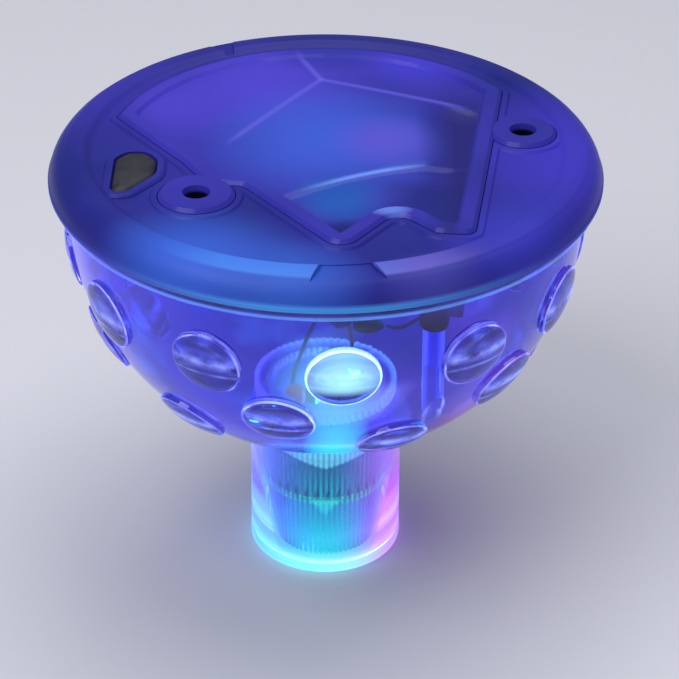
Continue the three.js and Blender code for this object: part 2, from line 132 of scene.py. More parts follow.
class Paint:
    """A material and the nodes that feed its principled shader."""

    def __init__(self, name, color, **constants):
        self.material = bpy.data.materials.new(name)
        self.material.use_nodes = True
        self.tree = self.material.node_tree
        self.shader = self.tree.nodes["Principled BSDF"]
        self.set("Base Color", color)
        for socket, value in constants.items():
            self.set(socket.replace("_", " "), value)

    def set(self, socket, value):
        if isinstance(value, Value):
            self.tree.links.new(value.socket, self.shader.inputs[socket])
        elif isinstance(value, tuple):
            self.shader.inputs[socket].default_value = (*value, 1)
        else:
            self.shader.inputs[socket].default_value = value

    def node(self, kind, settings=None, *terms, output=0, **named):
        made = self.tree.nodes.new(kind)
        for key, value in (settings or {}).items():
            setattr(made, key, value)
        inputs = list(enumerate(terms)) + [(key.replace("_", " "), value) for key, value in named.items()]
        for key, value in inputs:
            if isinstance(value, Value):
                self.tree.links.new(value.socket, made.inputs[key])
            else:
                made.inputs[key].default_value = value
        return Value(self, made.outputs[output])

    def place(self):
        """The point on the piece, in metres."""
        return self.node("ShaderNodeTexCoord", output="Object")

    def axes(self):
        """The point's x, y and z, in millimetres."""
        split = self.tree.nodes.new("ShaderNodeSeparateXYZ")
        self.tree.links.new(self.place().socket, split.inputs[0])
        return tuple(Value(self, split.outputs[i]) / MM for i in range(3))

    def away(self, at_x, at_y, at_z=None):
        """Distance in millimetres from an upright line, or from a point where at_z is given."""
        x, y, z = self.axes()
        square = (x - at_x) ** 2 + (y - at_y) ** 2
        if at_z is not None:
            square = square + (z - at_z) ** 2
        return square ** 0.5

    def noise(self, size, detail=3.0, roughness=0.5):
        """Even noise from 0 to 1 whose blotches are about size millimetres across."""
        return self.node("ShaderNodeTexNoise", None, Vector=self.place(), Scale=1 / (size * MM), Detail=detail,
                         Roughness=roughness)

    def mix(self, factor, low, high):
        """A colour between low and high."""
        made = self.tree.nodes.new("ShaderNodeMix")
        made.data_type = "RGBA"
        for key, value in ((0, factor), (6, low), (7, high)):
            if isinstance(value, Value):
                self.tree.links.new(value.socket, made.inputs[key])
            elif isinstance(value, tuple):
                made.inputs[key].default_value = (*value, 1)
            else:
                made.inputs[key].default_value = value
        return Value(self, made.outputs[2])

    def span(self, value, low, high):
        """0 at low, 1 at high, and even between."""
        return ((value - low) / (high - low)).clamped()

    def peak(self, value, middle, reach):
        """1 at middle, falling evenly to 0 at reach on either side."""
        return (1 - ((value - middle) / reach).absolute()).clamped()

    def bump(self, height, depth):
        """Surface relief of depth millimetres."""
        normal = self.node("ShaderNodeBump", None, Height=height, Strength=1.0, Distance=depth * MM)
        self.set("Normal", normal)

    def on(self, piece):
        piece.data.materials.clear()
        piece.data.materials.append(self.material)


def start(name):
    """A new mesh of one vertex at the origin, in edit mode."""
    if bpy.context.mode != "OBJECT":
        bpy.ops.object.mode_set(mode="OBJECT")
    bpy.ops.object.select_all(action="DESELECT")
    bpy.ops.mesh.primitive_plane_add(size=MM, location=(0, 0, 0))
    piece = bpy.context.object
    piece.name = name
    bpy.ops.object.mode_set(mode="EDIT")
    bpy.ops.mesh.select_all(action="SELECT")
    bpy.ops.mesh.merge(type="CENTER")
    return piece


def draw(points):
    """Extrudes the single vertex through points, in millimetres."""
    bpy.ops.transform.translate(value=Vector(points[0]) * MM)
    for here, there in zip(points, points[1:]):
        step = (Vector(there) - Vector(here)) * MM
        bpy.ops.mesh.extrude_region_move(TRANSFORM_OT_translate={"value": step})
    bpy.ops.mesh.select_all(action="SELECT")


def close_up():
    """Joins doubled vertices, turns the faces outwards and leaves edit mode."""
    bpy.ops.mesh.select_all(action="SELECT")
    bpy.ops.mesh.remove_doubles(threshold=1e-6)
    bpy.ops.mesh.normals_make_consistent(inside=False)
    bpy.ops.object.mode_set(mode="OBJECT")


def turned(name, profile, steps=96, at=(0, 0)):
    """A profile of (radius, height) in millimetres, spun about an upright axis through at."""
    piece = start(name)
    draw([(r, 0, z) for r, z in profile])
    bpy.ops.mesh.spin(steps=steps, angle=2 * math.pi, center=(0, 0, 0), axis=(0, 0, 1))
    bpy.ops.mesh.select_all(action="SELECT")
    bpy.ops.transform.translate(value=(at[0] * MM, at[1] * MM, 0))
    close_up()
    return piece


def apply(piece, kind, **settings):
    """Adds a modifier to the piece and applies it."""
    bpy.ops.object.select_all(action="DESELECT")
    bpy.context.view_layer.objects.active = piece
    piece.select_set(True)
    modifier = piece.modifiers.new(kind.lower(), kind)
    for key, value in settings.items():
        setattr(modifier, key, value)
    bpy.ops.object.modifier_apply(modifier=modifier.name)


def combine(piece, tool, operation):
    """Joins, cuts or keeps what the tool covers, and throws the tool away."""
    apply(piece, "BOOLEAN", object=tool, operation=operation, solver="MANIFOLD")
    bpy.data.objects.remove(tool)


def soften(piece, width, segments=2, angle=35):
    """Rounds every edge sharper than angle."""
    apply(piece, "BEVEL", width=width * MM, segments=segments, limit_method="ANGLE",
          angle_limit=math.radians(angle))


def smooth(piece, angle=35):
    bpy.ops.object.select_all(action="DESELECT")
    bpy.context.view_layer.objects.active = piece
    piece.select_set(True)
    bpy.ops.object.shade_smooth_by_angle(angle=math.radians(angle))


def settle(piece):
    """Puts a turned or moved object's place into its mesh."""
    bpy.ops.object.select_all(action="DESELECT")
    bpy.context.view_layer.objects.active = piece
    piece.select_set(True)
    bpy.ops.object.transform_apply(location=True, rotation=True, scale=True)


def copy_of(piece):
    twin = piece.copy()
    twin.data = piece.data.copy()
    bpy.context.scene.collection.objects.link(twin)
    return twin


def joined(pieces):
    """Several objects made one."""
    bpy.ops.object.select_all(action="DESELECT")
    for piece in pieces:
        piece.select_set(True)
    bpy.context.view_layer.objects.active = pieces[0]
    bpy.ops.object.join()
    return pieces[0]


def arc(radius, start_angle, end_angle, steps, centre=(0, 0)):
    angles = [math.radians(start_angle + (end_angle - start_angle) * i / steps) for i in range(steps + 1)]
    return [(centre[0] + radius * math.cos(a), centre[1] + radius * math.sin(a)) for a in angles]


def finish(piece, body, slot, paint, *nodes):
    """Gives a finished piece its material and its place in the frame."""
    paint.on(piece)
    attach(piece, body)
    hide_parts(*nodes)


BOWL_R = 60
BOWL_Z = 96
BOWL_WALL = 2
STEM_R = 18.6
STEM_IN = 16.6
LIP_R = 62.9
LIP_LOW = 99.9
LIP_TOP = 101.9
NECK_Z = BOWL_Z - math.sqrt(BOWL_R ** 2 - STEM_R ** 2)
POST_RING_R = 50.1
POST_ANGLES = (-61.8, 58.2, 178.2)
POST_TOP = 90.6
LENS_R = 8.4
LENS_ROWS = ((4, 12, 12), (-11, 27.5, 6), (19, 39.5, 6))   # first, degrees below the rim, how many

inner_r = BOWL_R - BOWL_WALL
bowl = turned("clear_bowl", [
    (STEM_IN, NECK_Z),
    *arc(BOWL_R, -math.degrees(math.acos(STEM_R / BOWL_R)), 0, 40, (0, BOWL_Z)),
    (BOWL_R, LIP_LOW - 0.8), (LIP_R - 0.4, LIP_LOW), (LIP_R, LIP_LOW + 0.5), (LIP_R, LIP_TOP), (inner_r, LIP_TOP),
    *arc(inner_r, 0, -math.degrees(math.acos(STEM_IN / inner_r)), 40, (0, BOWL_Z)),
    (STEM_IN, NECK_Z),
], steps=180)

# a thick lens, domed on both sides, with a small step where its edge leaves the bowl
step_low = -LENS_R ** 2 / (2 * BOWL_R)
lens = turned("lens", [
    (0, -3.5), (3.2, -3.35), (5.6, -3.0), (7.4, -2.6), (7.4, -1.4), (LENS_R, step_low - 0.5), (LENS_R, 0.2),
    (LENS_R - 0.15, 0.42), (LENS_R - 0.5, 0.55), (7.1, 0.84), (5.8, 1.2), (4.4, 1.5), (3.0, 1.71), (1.5, 1.84),
    (0, 1.88),
], steps=40)
# one clear polystyrene in three copies: the bowl, the lens rims tinted paler with a painted highlight ring, and the
# lens domes tinted darker with painted streaks of light
clear = Paint("clear_polystyrene", (0.17, 0.18, 0.80), Roughness=0.03, IOR=1.5, Transmission_Weight=1.0,
              Emission_Strength=0.5)
rim_clear = Paint("lens_rim", (0.62, 0.64, 1.0), Roughness=0.05, IOR=1.5, Transmission_Weight=1.0,
                  Emission_Strength=0.8)
lens_clear = Paint("lens_dome", (0.09, 0.09, 0.44), Roughness=0.03, IOR=1.5, Transmission_Weight=1.0,
                   Emission_Strength=1.0)
for part in (bowl, lens):
    for paint in (clear, rim_clear, lens_clear):
        part.data.materials.append(paint.material)
for face in lens.data.polygons:
    face_r = math.hypot(face.center.x, face.center.y) / MM
    if 7.6 < face_r < LENS_R + 0.1 and face.center.z > 0:
        face.material_index = 1
    elif face_r < 7.6:
        face.material_index = 2
lenses = []
for first, below, count in LENS_ROWS:
    for i in range(count):
        round_ = math.radians(first + 360 * i / count - 90)
        down = math.radians(-below)
        out = Vector((math.cos(round_) * math.cos(down), math.sin(round_) * math.cos(down), math.sin(down)))
        twin = copy_of(lens)
        twin.location = (out * BOWL_R + Vector((0, 0, BOWL_Z))) * MM
        twin.rotation_euler = out.to_track_quat("Z", "Y").to_euler()
        settle(twin)
        lenses.append(twin)
bpy.data.objects.remove(lens)
combine(bowl, joined(lenses), "UNION")

# the posts stand on the bowl's inner wall, each with a thread bore
bpy.ops.object.select_all(action="DESELECT")
bpy.ops.mesh.primitive_uv_sphere_add(segments=96, ring_count=48, radius=(BOWL_R - 0.7) * MM,
                                     location=(0, 0, BOWL_Z * MM))
inner_ball = bpy.context.object
settle(inner_ball)
posts = []
for angle in POST_ANGLES:
    at = arc(POST_RING_R, angle, angle, 1)[0]
    post = turned("post", [(0, 50), (2.4, 50), (2.4, POST_TOP - 0.3), (2.1, POST_TOP), (1.2, POST_TOP),
                           (1.2, POST_TOP - 12), (0, POST_TOP - 12)], steps=28, at=at)
    posts.append(post)
posts = joined(posts)
combine(posts, inner_ball, "INTERSECT")
combine(bowl, posts, "UNION")
smooth(bowl, 30)

# the lamps' light is painted on as a glow that gathers in the front lens and runs down the bowl below it, rosy at the
# lower right
FRONT_LENS = (4, -57.5, 83.5)
x, y, z = clear.axes()
haze = clear.noise(34, 2, 0.4)
streaks = clear.noise(15, 3, 0.5)
glow = clear.mix(clear.span(haze, 0.38, 0.62), (0.004, 0.004, 0.045), (0.050, 0.030, 0.26))
glow = clear.mix(clear.span(streaks, 0.56, 0.68) * 0.6, glow, (0.015, 0.090, 0.42))
rosy_glow = clear.span(x, 12, 40) * (1 - clear.span(z, 46, 72)) * clear.span(streaks, 0.42, 0.55)
glow = clear.mix(rosy_glow * 0.8, glow, (0.50, 0.050, 0.26))
beam = (1 - ((x - 2.5) / 7.5) ** 2).clamped() * (1 - clear.span(z, 64, 78)) * (1 - clear.span(y, -20, -10))
glow = clear.mix(beam * 0.75, glow, (0.04, 0.85, 0.95))
spill = (1 - clear.away(FRONT_LENS[0], FRONT_LENS[1], FRONT_LENS[2] - 2.5) / 17).clamped()
spill_light = clear.mix(clear.span(x, 6, 14), (0.30, 1.0, 1.1), (0.55, 0.50, 1.1))
glow = clear.mix(spill * 0.75, glow, spill_light)

# painted shade dims the glow in front of the sealant, and a painted highlight runs down both sides of the front right
# post
shade = (1 - ((x - 16) / 18) ** 2).clamped() * (1 - ((z - 88) / 10) ** 2).clamped() * (1 - clear.span(y, -38, -30))
glow = clear.mix((shade * 1.8).clamped() * 0.95, glow, (0.001, 0.001, 0.018))
post_x, post_y = arc(POST_RING_R, POST_ANGLES[0], POST_ANGLES[0], 1)[0]
on_post = (1 - clear.span(clear.away(post_x, post_y), 2.4, 2.8)) * clear.span(z, 62, 70)
post_light = clear.mix(clear.span((x - post_x).absolute(), 1, 2), (0.02, 0.03, 0.30), (0.55, 0.75, 1.4))
glow = clear.mix(on_post, glow, post_light)
# a painted glow along the bowl's lip, brighter at the front
lip = clear.span(z, LIP_LOW - 0.3, LIP_LOW + 0.3) * (1 - clear.span(z, LIP_TOP - 1.1, LIP_TOP - 0.6)) * clear.span(
    clear.away(0, 0), LIP_R - 1.7, LIP_R - 0.7)
lip_light = clear.mix(clear.span(y, 30, -50), (0.05, 0.08, 0.42), (0.12, 0.36, 1.0))
clear.set("Emission Color", clear.mix(lip, glow, lip_light))
clear.set("Roughness", clear.noise(9) * 0.05 + 0.01)

# the lens rims glow with a painted highlight ring, blotchy, and brightest round the front lens
rim_glow = rim_clear.mix(rim_clear.span(rim_clear.noise(6, 3), 0.40, 0.62), (0.02, 0.02, 0.20), (0.17, 0.19, 0.74))
near_front = (1 - rim_clear.away(*FRONT_LENS) / 22).clamped() ** 0.7
rim_clear.set("Emission Color", rim_clear.mix(near_front, rim_glow, (0.75, 1.3, 1.3)))
rim_clear.set("Roughness", rim_clear.noise(4) * 0.06 + 0.02)

# in each dome the lamps' light is painted on as two bright streaks, level with the floor
z = lens_clear.axes()[2]
flicker = lens_clear.span(lens_clear.noise(5, 3, 0.6), 0.36, 0.62)
dome_glow = (0.003, 0.003, 0.03)
for _, below, _ in LENS_ROWS:
    level = BOWL_Z - BOWL_R * math.sin(math.radians(below))
    for rise, width, share in ((1.0, 1.7, 1.0), (-2.2, 0.6, 0.6)):
        streak = lens_clear.peak(z, level + rise, width) * flicker * share
        dome_glow = lens_clear.mix(streak, dome_glow, (0.24, 0.32, 0.95))
# a painted glow in the dome of the front lens
near_front = (1 - lens_clear.away(*FRONT_LENS) / 10.5).clamped() * lens_clear.span(z, 78.5, 80.5)
lens_clear.set("Emission Color", lens_clear.mix(near_front * 0.75, dome_glow, (0.55, 1.3, 1.3)))
lens_clear.set("Roughness", lens_clear.noise(4) * 0.05 + 0.01)
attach(bowl, "housing")
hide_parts("clear_bowl")


# ---------- stem tube ----------
# A clear moulded tube, closed and rounded at the foot it stands on, and bonded to the bowl's neck. The lamps'
# light running down its wall and out at the rounded foot is painted on as a glow.
STEM_FLOOR = 2.6
stem = turned("stem_tube", [
    (0, 0.5), (13.4, 0.5), (13.9, 0), (STEM_R - 1.6, 0), *arc(1.6, -75, 0, 6, (STEM_R - 1.6, 1.6)),
    (STEM_R, 3.4), (STEM_R - 0.12, 3.7), (STEM_R - 0.12, NECK_Z - 1.4), (STEM_R, NECK_Z - 1.1),
    (STEM_R, NECK_Z - 0.3), (STEM_IN, NECK_Z - 0.3), (STEM_IN, STEM_FLOOR + 1.2),
    *arc(1.2, 0, -90, 4, (STEM_IN - 1.2, STEM_FLOOR + 1.2)), (0, STEM_FLOOR),
], steps=128)
smooth(stem, 40)

tube_clear = Paint("clear_stem", (0.46, 0.60, 0.86), Roughness=0.03, IOR=1.5, Transmission_Weight=1.0,
                   Emission_Strength=0.55)
x, y, z = tube_clear.axes()
# painted glow: blue on the left of the wall, violet on the right, dim in the middle, and cyan and pink at the foot
middle = (1 - (x / 13.5) ** 2).clamped()
foot_light = 1 - tube_clear.span(z, 1.6, 6.2)
foot_glow = tube_clear.mix(tube_clear.span(x, -4, 15), (0.16, 0.62, 1.0), (0.62, 0.30, 0.95))
foot_glow = tube_clear.mix(middle * 0.7, foot_glow, (0.25, 0.95, 1.0))
wall_glow = tube_clear.mix(tube_clear.span(x, -4, 10), (0.07, 0.07, 0.44), (0.22, 0.05, 0.36))
wall_glow = tube_clear.mix(middle, wall_glow, (0.0, 0.012, 0.03))
tube_clear.set("Emission Color", tube_clear.mix(foot_light, wall_glow, foot_glow))
tube_clear.set("Roughness", tube_clear.noise(7) * 0.05 + 0.01)
finish(stem, "housing", "clear_plastic", tube_clear, "stem_tube")


# ---------- light cup ----------
# A clear fluted cup that hangs in the stem. Its toothed flange shows as a bright ribbed ring under the bowl, painted
# glow, and its floor is a cone that points down and spreads the green lamp's light, painted on as a green glow.
CUP_R = 14.6
CUP_IN = 12.8
CUP_LOW = 3
CUP_TOP = 46
FLANGE_R = 17.5
FLANGE_Z = 42.6
CONE_EDGE = 20
CONE_TIP = 11
BOARD_Z = 33


def fluted(name, radius, depth, count, low, high):
    """A drum whose side has count flutes."""
    bpy.ops.object.select_all(action="DESELECT")
    bpy.ops.mesh.primitive_circle_add(vertices=count * 4, radius=radius * MM, fill_type="NGON",
                                      location=(0, 0, low * MM))
    shape = bpy.context.object
    shape.name = name
    settle(shape)
    for vertex in shape.data.vertices:
        if vertex.index % 4 == 3:
            vertex.co.x *= 1 - depth / radius
            vertex.co.y *= 1 - depth / radius
    bpy.ops.object.mode_set(mode="EDIT")
    bpy.ops.mesh.select_all(action="SELECT")
    bpy.ops.mesh.extrude_region_move(TRANSFORM_OT_translate={"value": (0, 0, (high - low) * MM)})
    close_up()
    return shape


cup = fluted("light_cup", CUP_R, 0.55, 72, CUP_LOW, FLANGE_Z + 1)
combine(cup, fluted("flange", FLANGE_R, 0.9, 60, FLANGE_Z, CUP_TOP), "UNION")
combine(cup, turned("hollow", [
    (0, CONE_TIP), (CUP_IN, CONE_EDGE), (CUP_IN, BOARD_Z - 2), (11.4, BOARD_Z - 1.4), (11.4, BOARD_Z - 0.3),
    (CUP_IN, BOARD_Z - 0.3), (CUP_IN, CUP_TOP - 0.6), (CUP_IN + 0.6, CUP_TOP + 1), (0, CUP_TOP + 1),
], steps=120), "DIFFERENCE")
combine(cup, turned("underside", [
    (0, CUP_LOW - 1), (CUP_IN, CUP_LOW - 1), (CUP_IN, CONE_EDGE - 2.2), (0, CONE_TIP - 1.8),
], steps=120), "DIFFERENCE")
smooth(cup, 25)

cup_clear = Paint("fluted_cup", (0.13, 0.36, 0.45), Roughness=0.12, IOR=1.49, Transmission_Weight=1.0,
                  Emission_Strength=0.6)
x, y, z = cup_clear.axes()
# a painted glow over the cup: teal in the middle, violet at either side, and green near the axis low down
near_axis = (1 - (x / 10.5) ** 2).clamped()
out = cup_clear.away(0, 0)
wall = cup_clear.span(out, 13.2, 13.8)
around = cup_clear.node("ShaderNodeMath", {"operation": "ARCTAN2"}, y, x)
across = cup_clear.mix(cup_clear.span(x, 3, 14), (0.006, 0.075, 0.12), (0.14, 0.06, 0.28))
across = cup_clear.mix(1 - cup_clear.span(x, -15, -7), across, (0.06, 0.06, 0.28))
glow = cup_clear.mix(near_axis * (1 - cup_clear.span(z, 9, 21)), across, (0.0, 0.50, 0.30))

# half way down, a row of dark dashes, and below it a painted green glow on the cone, pointed at the front
dashes = cup_clear.peak(z, 21.5, 2.2) * ((around * 36).sine() * 2).clamped() * wall
glow = cup_clear.mix(dashes * 0.9, glow, (0.0, 0.01, 0.04))
cone = (1 - cup_clear.span(out, 11.8, 12.7)) * (1 - cup_clear.span(z, CONE_EDGE, CONE_EDGE + 0.6))
cone_light = cup_clear.mix(cup_clear.span(out, 3, 10), (0.08, 1.2, 0.62), (0.0, 0.10, 0.12))
glow = cup_clear.mix(cone, glow, cone_light)
tip = (1 - x.absolute() / 4.5 - (19.8 - z) / 5.2).clamped() * (1 - cup_clear.span(z, 19.6, 20))
glow = cup_clear.mix((tip * 3).clamped() * wall, glow, (0.04, 0.80, 0.42))

# near the top, a painted bright ribbed band that dips at the front, a dim painted glow above it, and painted light on
# the teeth of the flange
band_low = 32.8 - (1 - x.absolute() / 11).clamped() * 3.5
band = ((z - band_low) / 0.8).clamped() * (1 - cup_clear.span(z, 37, 39)) * wall
band_light = cup_clear.mix(near_axis, (0.42, 0.66, 1.3), (0.5, 1.6, 1.4))
flutes = (around * 72).sine() * 0.5 + 0.5
glow = cup_clear.mix(band * (flutes * 0.5 + 0.4), glow, band_light)
high = cup_clear.span(z, 40.5, 42.5)
glow = cup_clear.mix(high, glow, (0.09, 0.07, 0.36))
teeth_light = cup_clear.mix(cup_clear.span(x, -14, -4), (0.60, 0.42, 1.3), (0.60, 1.2, 1.4))
glow = cup_clear.mix(high * cup_clear.span(out, 15.8, 16.8) * 0.9, glow, teeth_light)
cup_clear.set("Emission Color", glow)
cup_clear.set("Base Color", cup_clear.mix(dashes, (0.13, 0.36, 0.45), (0.01, 0.03, 0.06)))
cup_clear.set("Roughness", cup_clear.noise(2) * 0.12 + 0.06)
finish(cup, "housing", "clear_plastic", cup_clear, "light_cup")


# ---------- rim gasket ----------
# A black rubber ring, squeezed between the cap's seat and the bowl's lip.
SEAT_Z = LIP_TOP + 2.2
rim_gasket = turned("rim_gasket", [
    (58.9, LIP_TOP + 0.3), (61.9, LIP_TOP + 0.3), *arc(0.7, -60, 60, 5, (61.5, LIP_TOP + 1.1)),
    (61.9, SEAT_Z - 0.3), (58.9, SEAT_Z - 0.3), *arc(0.7, 120, 240, 5, (59.3, LIP_TOP + 1.1)), (58.9, LIP_TOP + 0.3),
], steps=160)
smooth(rim_gasket, 50)


def rubber(name, color, lighter):
    paint = Paint(name, color, Roughness=0.6, Specular_IOR_Level=0.4)
    bloom = paint.noise(3, 4)
    paint.set("Base Color", paint.mix(paint.span(bloom, 0.35, 0.75), color, lighter))
    paint.set("Roughness", bloom * 0.3 + 0.45)
    paint.bump(paint.noise(0.4, 2), 0.02)
    return paint


black_rubber = rubber("black_rubber", (0.008, 0.009, 0.02), (0.02, 0.022, 0.045))
finish(rim_gasket, "housing", "black_rubber", black_rubber, "rim_gasket")


# ---------- frosted top cover ----------
# One frosted moulding: a rounded shoulder and skirt over the bowl's lip, a sunk web, and in it the framed
# opening of the battery compartment, two screw bosses and the raised surround of the push button.
RIM_R = 64
TOP_Z = 110
SKIRT_Z = 102.5
WEB_TOP = 108.6
WEB_UNDER = 106.2
GASKET_LEDGE_Z = 105.4
TUB_FLOOR = 95
TUB_UNDER = 93.4
TUB_INSET = 4.6
TUB_LEFT = -13
TUB_BACK = 37.4
TIP_FLOOR = 89.2
TIP_UNDER = 86.9
TIP_BACK = -33
TURN = math.radians(-7.9)          # the door and all below it sit square to axes turned this much
EARS = (((-25.1, -27.7), 8.6), ((44.3, 13.2), 7.8))
EAR_POCKET_R = 5.4
EAR_POCKET_Z = 100.9
BOSS_R = 7
BOSS_BORE = 1.85
BOSS_UNDER = 93.4
PARTITIONS = (-17.6, 35.6)
CELLS_AT = (9.6, 9)
CELL_PITCH = 12.4
DOOR = (
    (10.1, -47.7, 4), (19.8, -29.1, 4), (29.5, -37, 4), (37.8, -36.5, 2.5), (37.8, 34.2, 3),
    *((px, py, 0) for px, py in arc(51, 52, 172, 24)),
    (-31, -13, 5), (-24, -22, 0), (-15.5, -22, 3),
)
BUTTON_AT = (-43.2, -12.8)
BUTTON = ((-4.6, -9.6, 1.6), (-1.4, -9.8, 2.4), (4.7, -1.5, 4.5), (4.7, 5, 3), (2.2, 8.6, 3.5), (-2.2, 8.6, 3.5),
          (-4.6, 5.5, 3))
LEDGE_NOTCHES = ((-2, 11.5), (203.8, 208.2))    # degrees round from the front


def outline(corners, inset=0.0, steps=6):
    """A closed outline of (x, y, corner radius), its sides moved inwards by inset."""
    count = len(corners)
    sides = []
    for i, (cx, cy, _) in enumerate(corners):
        nx, ny, _ = corners[(i + 1) % count]
        along = Vector((nx - cx, ny - cy)).normalized()
        sides.append((Vector((cx - along.y * inset, cy + along.x * inset)), along))
    points = []
    for i in range(count):
        (from_at, from_way), (to_at, to_way) = sides[i - 1], sides[i]
        cross = from_way.x * to_way.y - from_way.y * to_way.x
        apart = to_at - from_at
        corner = from_at + from_way * ((apart.x * to_way.y - apart.y * to_way.x) / cross)
        radius = corners[i][2]
        if radius == 0:
            points.append(tuple(corner))
            continue
        radius = max(radius - inset * math.copysign(1, cross), 0.4)
        angle = math.atan2(cross, from_way.dot(to_way))
        begin = corner - from_way * (radius * math.tan(abs(angle) / 2))
        centre = begin + Vector((-from_way.y, from_way.x)) * math.copysign(radius, angle)
        spoke = begin - centre
        for k in range(steps + 1):
            turn = angle * k / steps
            points.append((centre.x + spoke.x * math.cos(turn) - spoke.y * math.sin(turn),
                           centre.y + spoke.x * math.sin(turn) + spoke.y * math.cos(turn)))
    return points


def stacked(name, *levels):
    """A solid through outlines with the same number of points, each a (points, height), from the bottom up."""
    points, height = levels[0]
    piece = start(name)
    draw([(px, py, height) for px, py in (*points, points[0])])
    bpy.ops.mesh.remove_doubles(threshold=1e-7)
    bpy.ops.mesh.edge_face_add()
    for upper, upper_height in levels[1:]:
        bpy.ops.mesh.extrude_region_move()
        pairs = [(Vector((*old, height)) * MM, Vector((*new, upper_height)) * MM) for old, new in zip(points, upper)]
        mesh = bmesh.from_edit_mesh(piece.data)
        for vertex in mesh.verts:
            if vertex.select:
                vertex.co = min(pairs, key=lambda pair: (pair[0] - vertex.co).length_squared)[1]
        points, height = upper, upper_height
    close_up()
    return piece


def prism(name, points, low, high):
    return stacked(name, (points, low), (points, high))


def drum(radius, low, high, at=(0, 0), steps=48):
    return turned("drum", [(0, low), (radius, low), (radius, high), (0, high)], steps, at)


def slab(name, low, high):
    """A block between two corners."""
    bpy.ops.object.select_all(action="DESELECT")
    middle = (Vector(low) + Vector(high)) * MM / 2
    bpy.ops.mesh.primitive_cube_add(size=1, location=middle)
    piece = bpy.context.object
    piece.name = name
    piece.scale = (Vector(high) - Vector(low)) * MM
    settle(piece)
    return piece


def door_shape(inset, low, high, edge=0.0):
    """The door's outline and its two ears, with an edge of that size chamfered off the top."""
    outer = outline(DOOR, inset)
    levels = [(outer, low), (outer, high - edge)] + ([(outline(DOOR, inset + edge), high)] if edge else [])
    shape = stacked("door_shape", *levels)
    for at, radius in EARS:
        ear_r = radius - inset
        rim = [(ear_r, high - edge)] if edge else []
        ear = turned("ear", [(0, low), (ear_r, low), *rim, (ear_r - edge, high), (0, high)], 72, at)
        combine(shape, ear, "UNION")
    return shape


def tub_shape(grow, low, high, back=TUB_BACK):
    shape = prism("tub_shape", outline(DOOR, TUB_INSET - grow), low, high)
    limit = slab("limit", (TUB_LEFT - grow, -60, low - 1), (60, back + grow, high + 1))
    combine(shape, limit, "INTERSECT")
    return shape


def turn_into_place(piece):
    """Turns a piece made square to the door's axes into the object's own."""
    piece.rotation_euler.z = TURN
    settle(piece)
    return piece


def turned_point(at):
    """A place given in the door's axes, in the object's own."""
    u, v = at
    return u * math.cos(TURN) - v * math.sin(TURN), u * math.sin(TURN) + v * math.cos(TURN)


def button_points(inset):
    return [(px + BUTTON_AT[0], py + BUTTON_AT[1]) for px, py in outline(BUTTON, inset)]


cover = turned("top_cover", [
    (0, WEB_UNDER), (55, WEB_UNDER), (55, 98.7), (55.3, 98.5), (57.2, 98.5), (57.5, 98.8), (57.5, SEAT_Z),
    (62.8, SEAT_Z), (62.8, SKIRT_Z + 0.3), (63.1, SKIRT_Z), (63.7, SKIRT_Z), (RIM_R, SKIRT_Z + 0.3),
    (RIM_R, SKIRT_Z + 1.1), (63.75, SKIRT_Z + 1.4), (63.6, SKIRT_Z + 2), (63.35, 105.5), (62.9, 106.5), (62.3, 107.4),
    (61.6, 108.2), (60.9, 108.75), (60.4, 109.0), (60.1, 109.3), (59.7, 109.5), (56.3, 109.95), (55.8, 109.9),
    (55.2, 109.65), (54.6, 109.2), (54.0, 108.85), (53.3, WEB_TOP), (0, WEB_TOP),
], steps=192)
combine(cover, stacked("surround", (button_points(-2.4), WEB_TOP - 0.5), (button_points(-2.4), WEB_TOP + 0.2),
                       (button_points(-2.1), 109.2), (button_points(-1.7), 109.45)), "UNION")
for angle in POST_ANGLES:
    combine(cover, drum(3.2, POST_TOP + 4, WEB_UNDER + 0.5, arc(POST_RING_R, angle, angle, 1)[0], 32), "UNION")

frame_shape = door_shape(-2, GASKET_LEDGE_Z - 1.8, 109.1, 0.5)
combine(frame_shape, tub_shape(2, TUB_UNDER, GASKET_LEDGE_Z - 0.5), "UNION")
combine(frame_shape, tub_shape(2, TIP_UNDER, TUB_UNDER + 1, TIP_BACK), "UNION")
for at, _ in EARS:
    combine(frame_shape, drum(BOSS_R, BOSS_UNDER, GASKET_LEDGE_Z - 0.5, at, 60), "UNION")
combine(cover, turn_into_place(frame_shape), "UNION")

recess = door_shape(-0.25, GASKET_LEDGE_Z, TOP_Z + 1)
combine(recess, tub_shape(0, TUB_FLOOR, GASKET_LEDGE_Z + 1), "UNION")
combine(recess, tub_shape(0, TIP_FLOOR, TUB_FLOOR + 1, TIP_BACK), "UNION")
for at, _ in EARS:
    combine(recess, drum(EAR_POCKET_R, EAR_POCKET_Z, GASKET_LEDGE_Z + 1, at, 60), "UNION")
    combine(recess, drum(BOSS_BORE, BOSS_UNDER + 1.5, EAR_POCKET_Z + 1, at, 32), "UNION")
combine(cover, turn_into_place(recess), "DIFFERENCE")
combine(cover, prism("button_hole", button_points(-0.4), 100, TOP_Z + 1), "DIFFERENCE")
combine(cover, prism("flange_pocket", button_points(-1.2), 100, WEB_UNDER), "DIFFERENCE")

# breaks in the raised ledge round the web, each with slanted ends
for first, last in LEDGE_NOTCHES:
    inner = arc(54, first - 88.8, last - 91.2, 12)
    outer = arc(60.9, first - 91, last - 89, 12)
    combine(cover, prism("notch", [*outer, *reversed(inner)], WEB_TOP, TOP_Z + 1), "DIFFERENCE")

# the cells' end walls, and the cradle ribs under them
for v in PARTITIONS:
    wall = slab("wall", (TUB_LEFT - 1, v - 0.8, TUB_FLOOR - 1), (34.2, v + 0.8, 104.4))
    combine(cover, turn_into_place(wall), "UNION")
for side in (-0.5, 0.5):
    u, v = CELLS_AT[0] + side * CELL_PITCH, CELLS_AT[1]
    cradle = slab("cradle", (u - 0.5, v - 14, TUB_FLOOR - 1), (u + 0.5, v + 14, TUB_FLOOR + 3.2))
    combine(cover, turn_into_place(cradle), "UNION")
smooth(cover, 28)

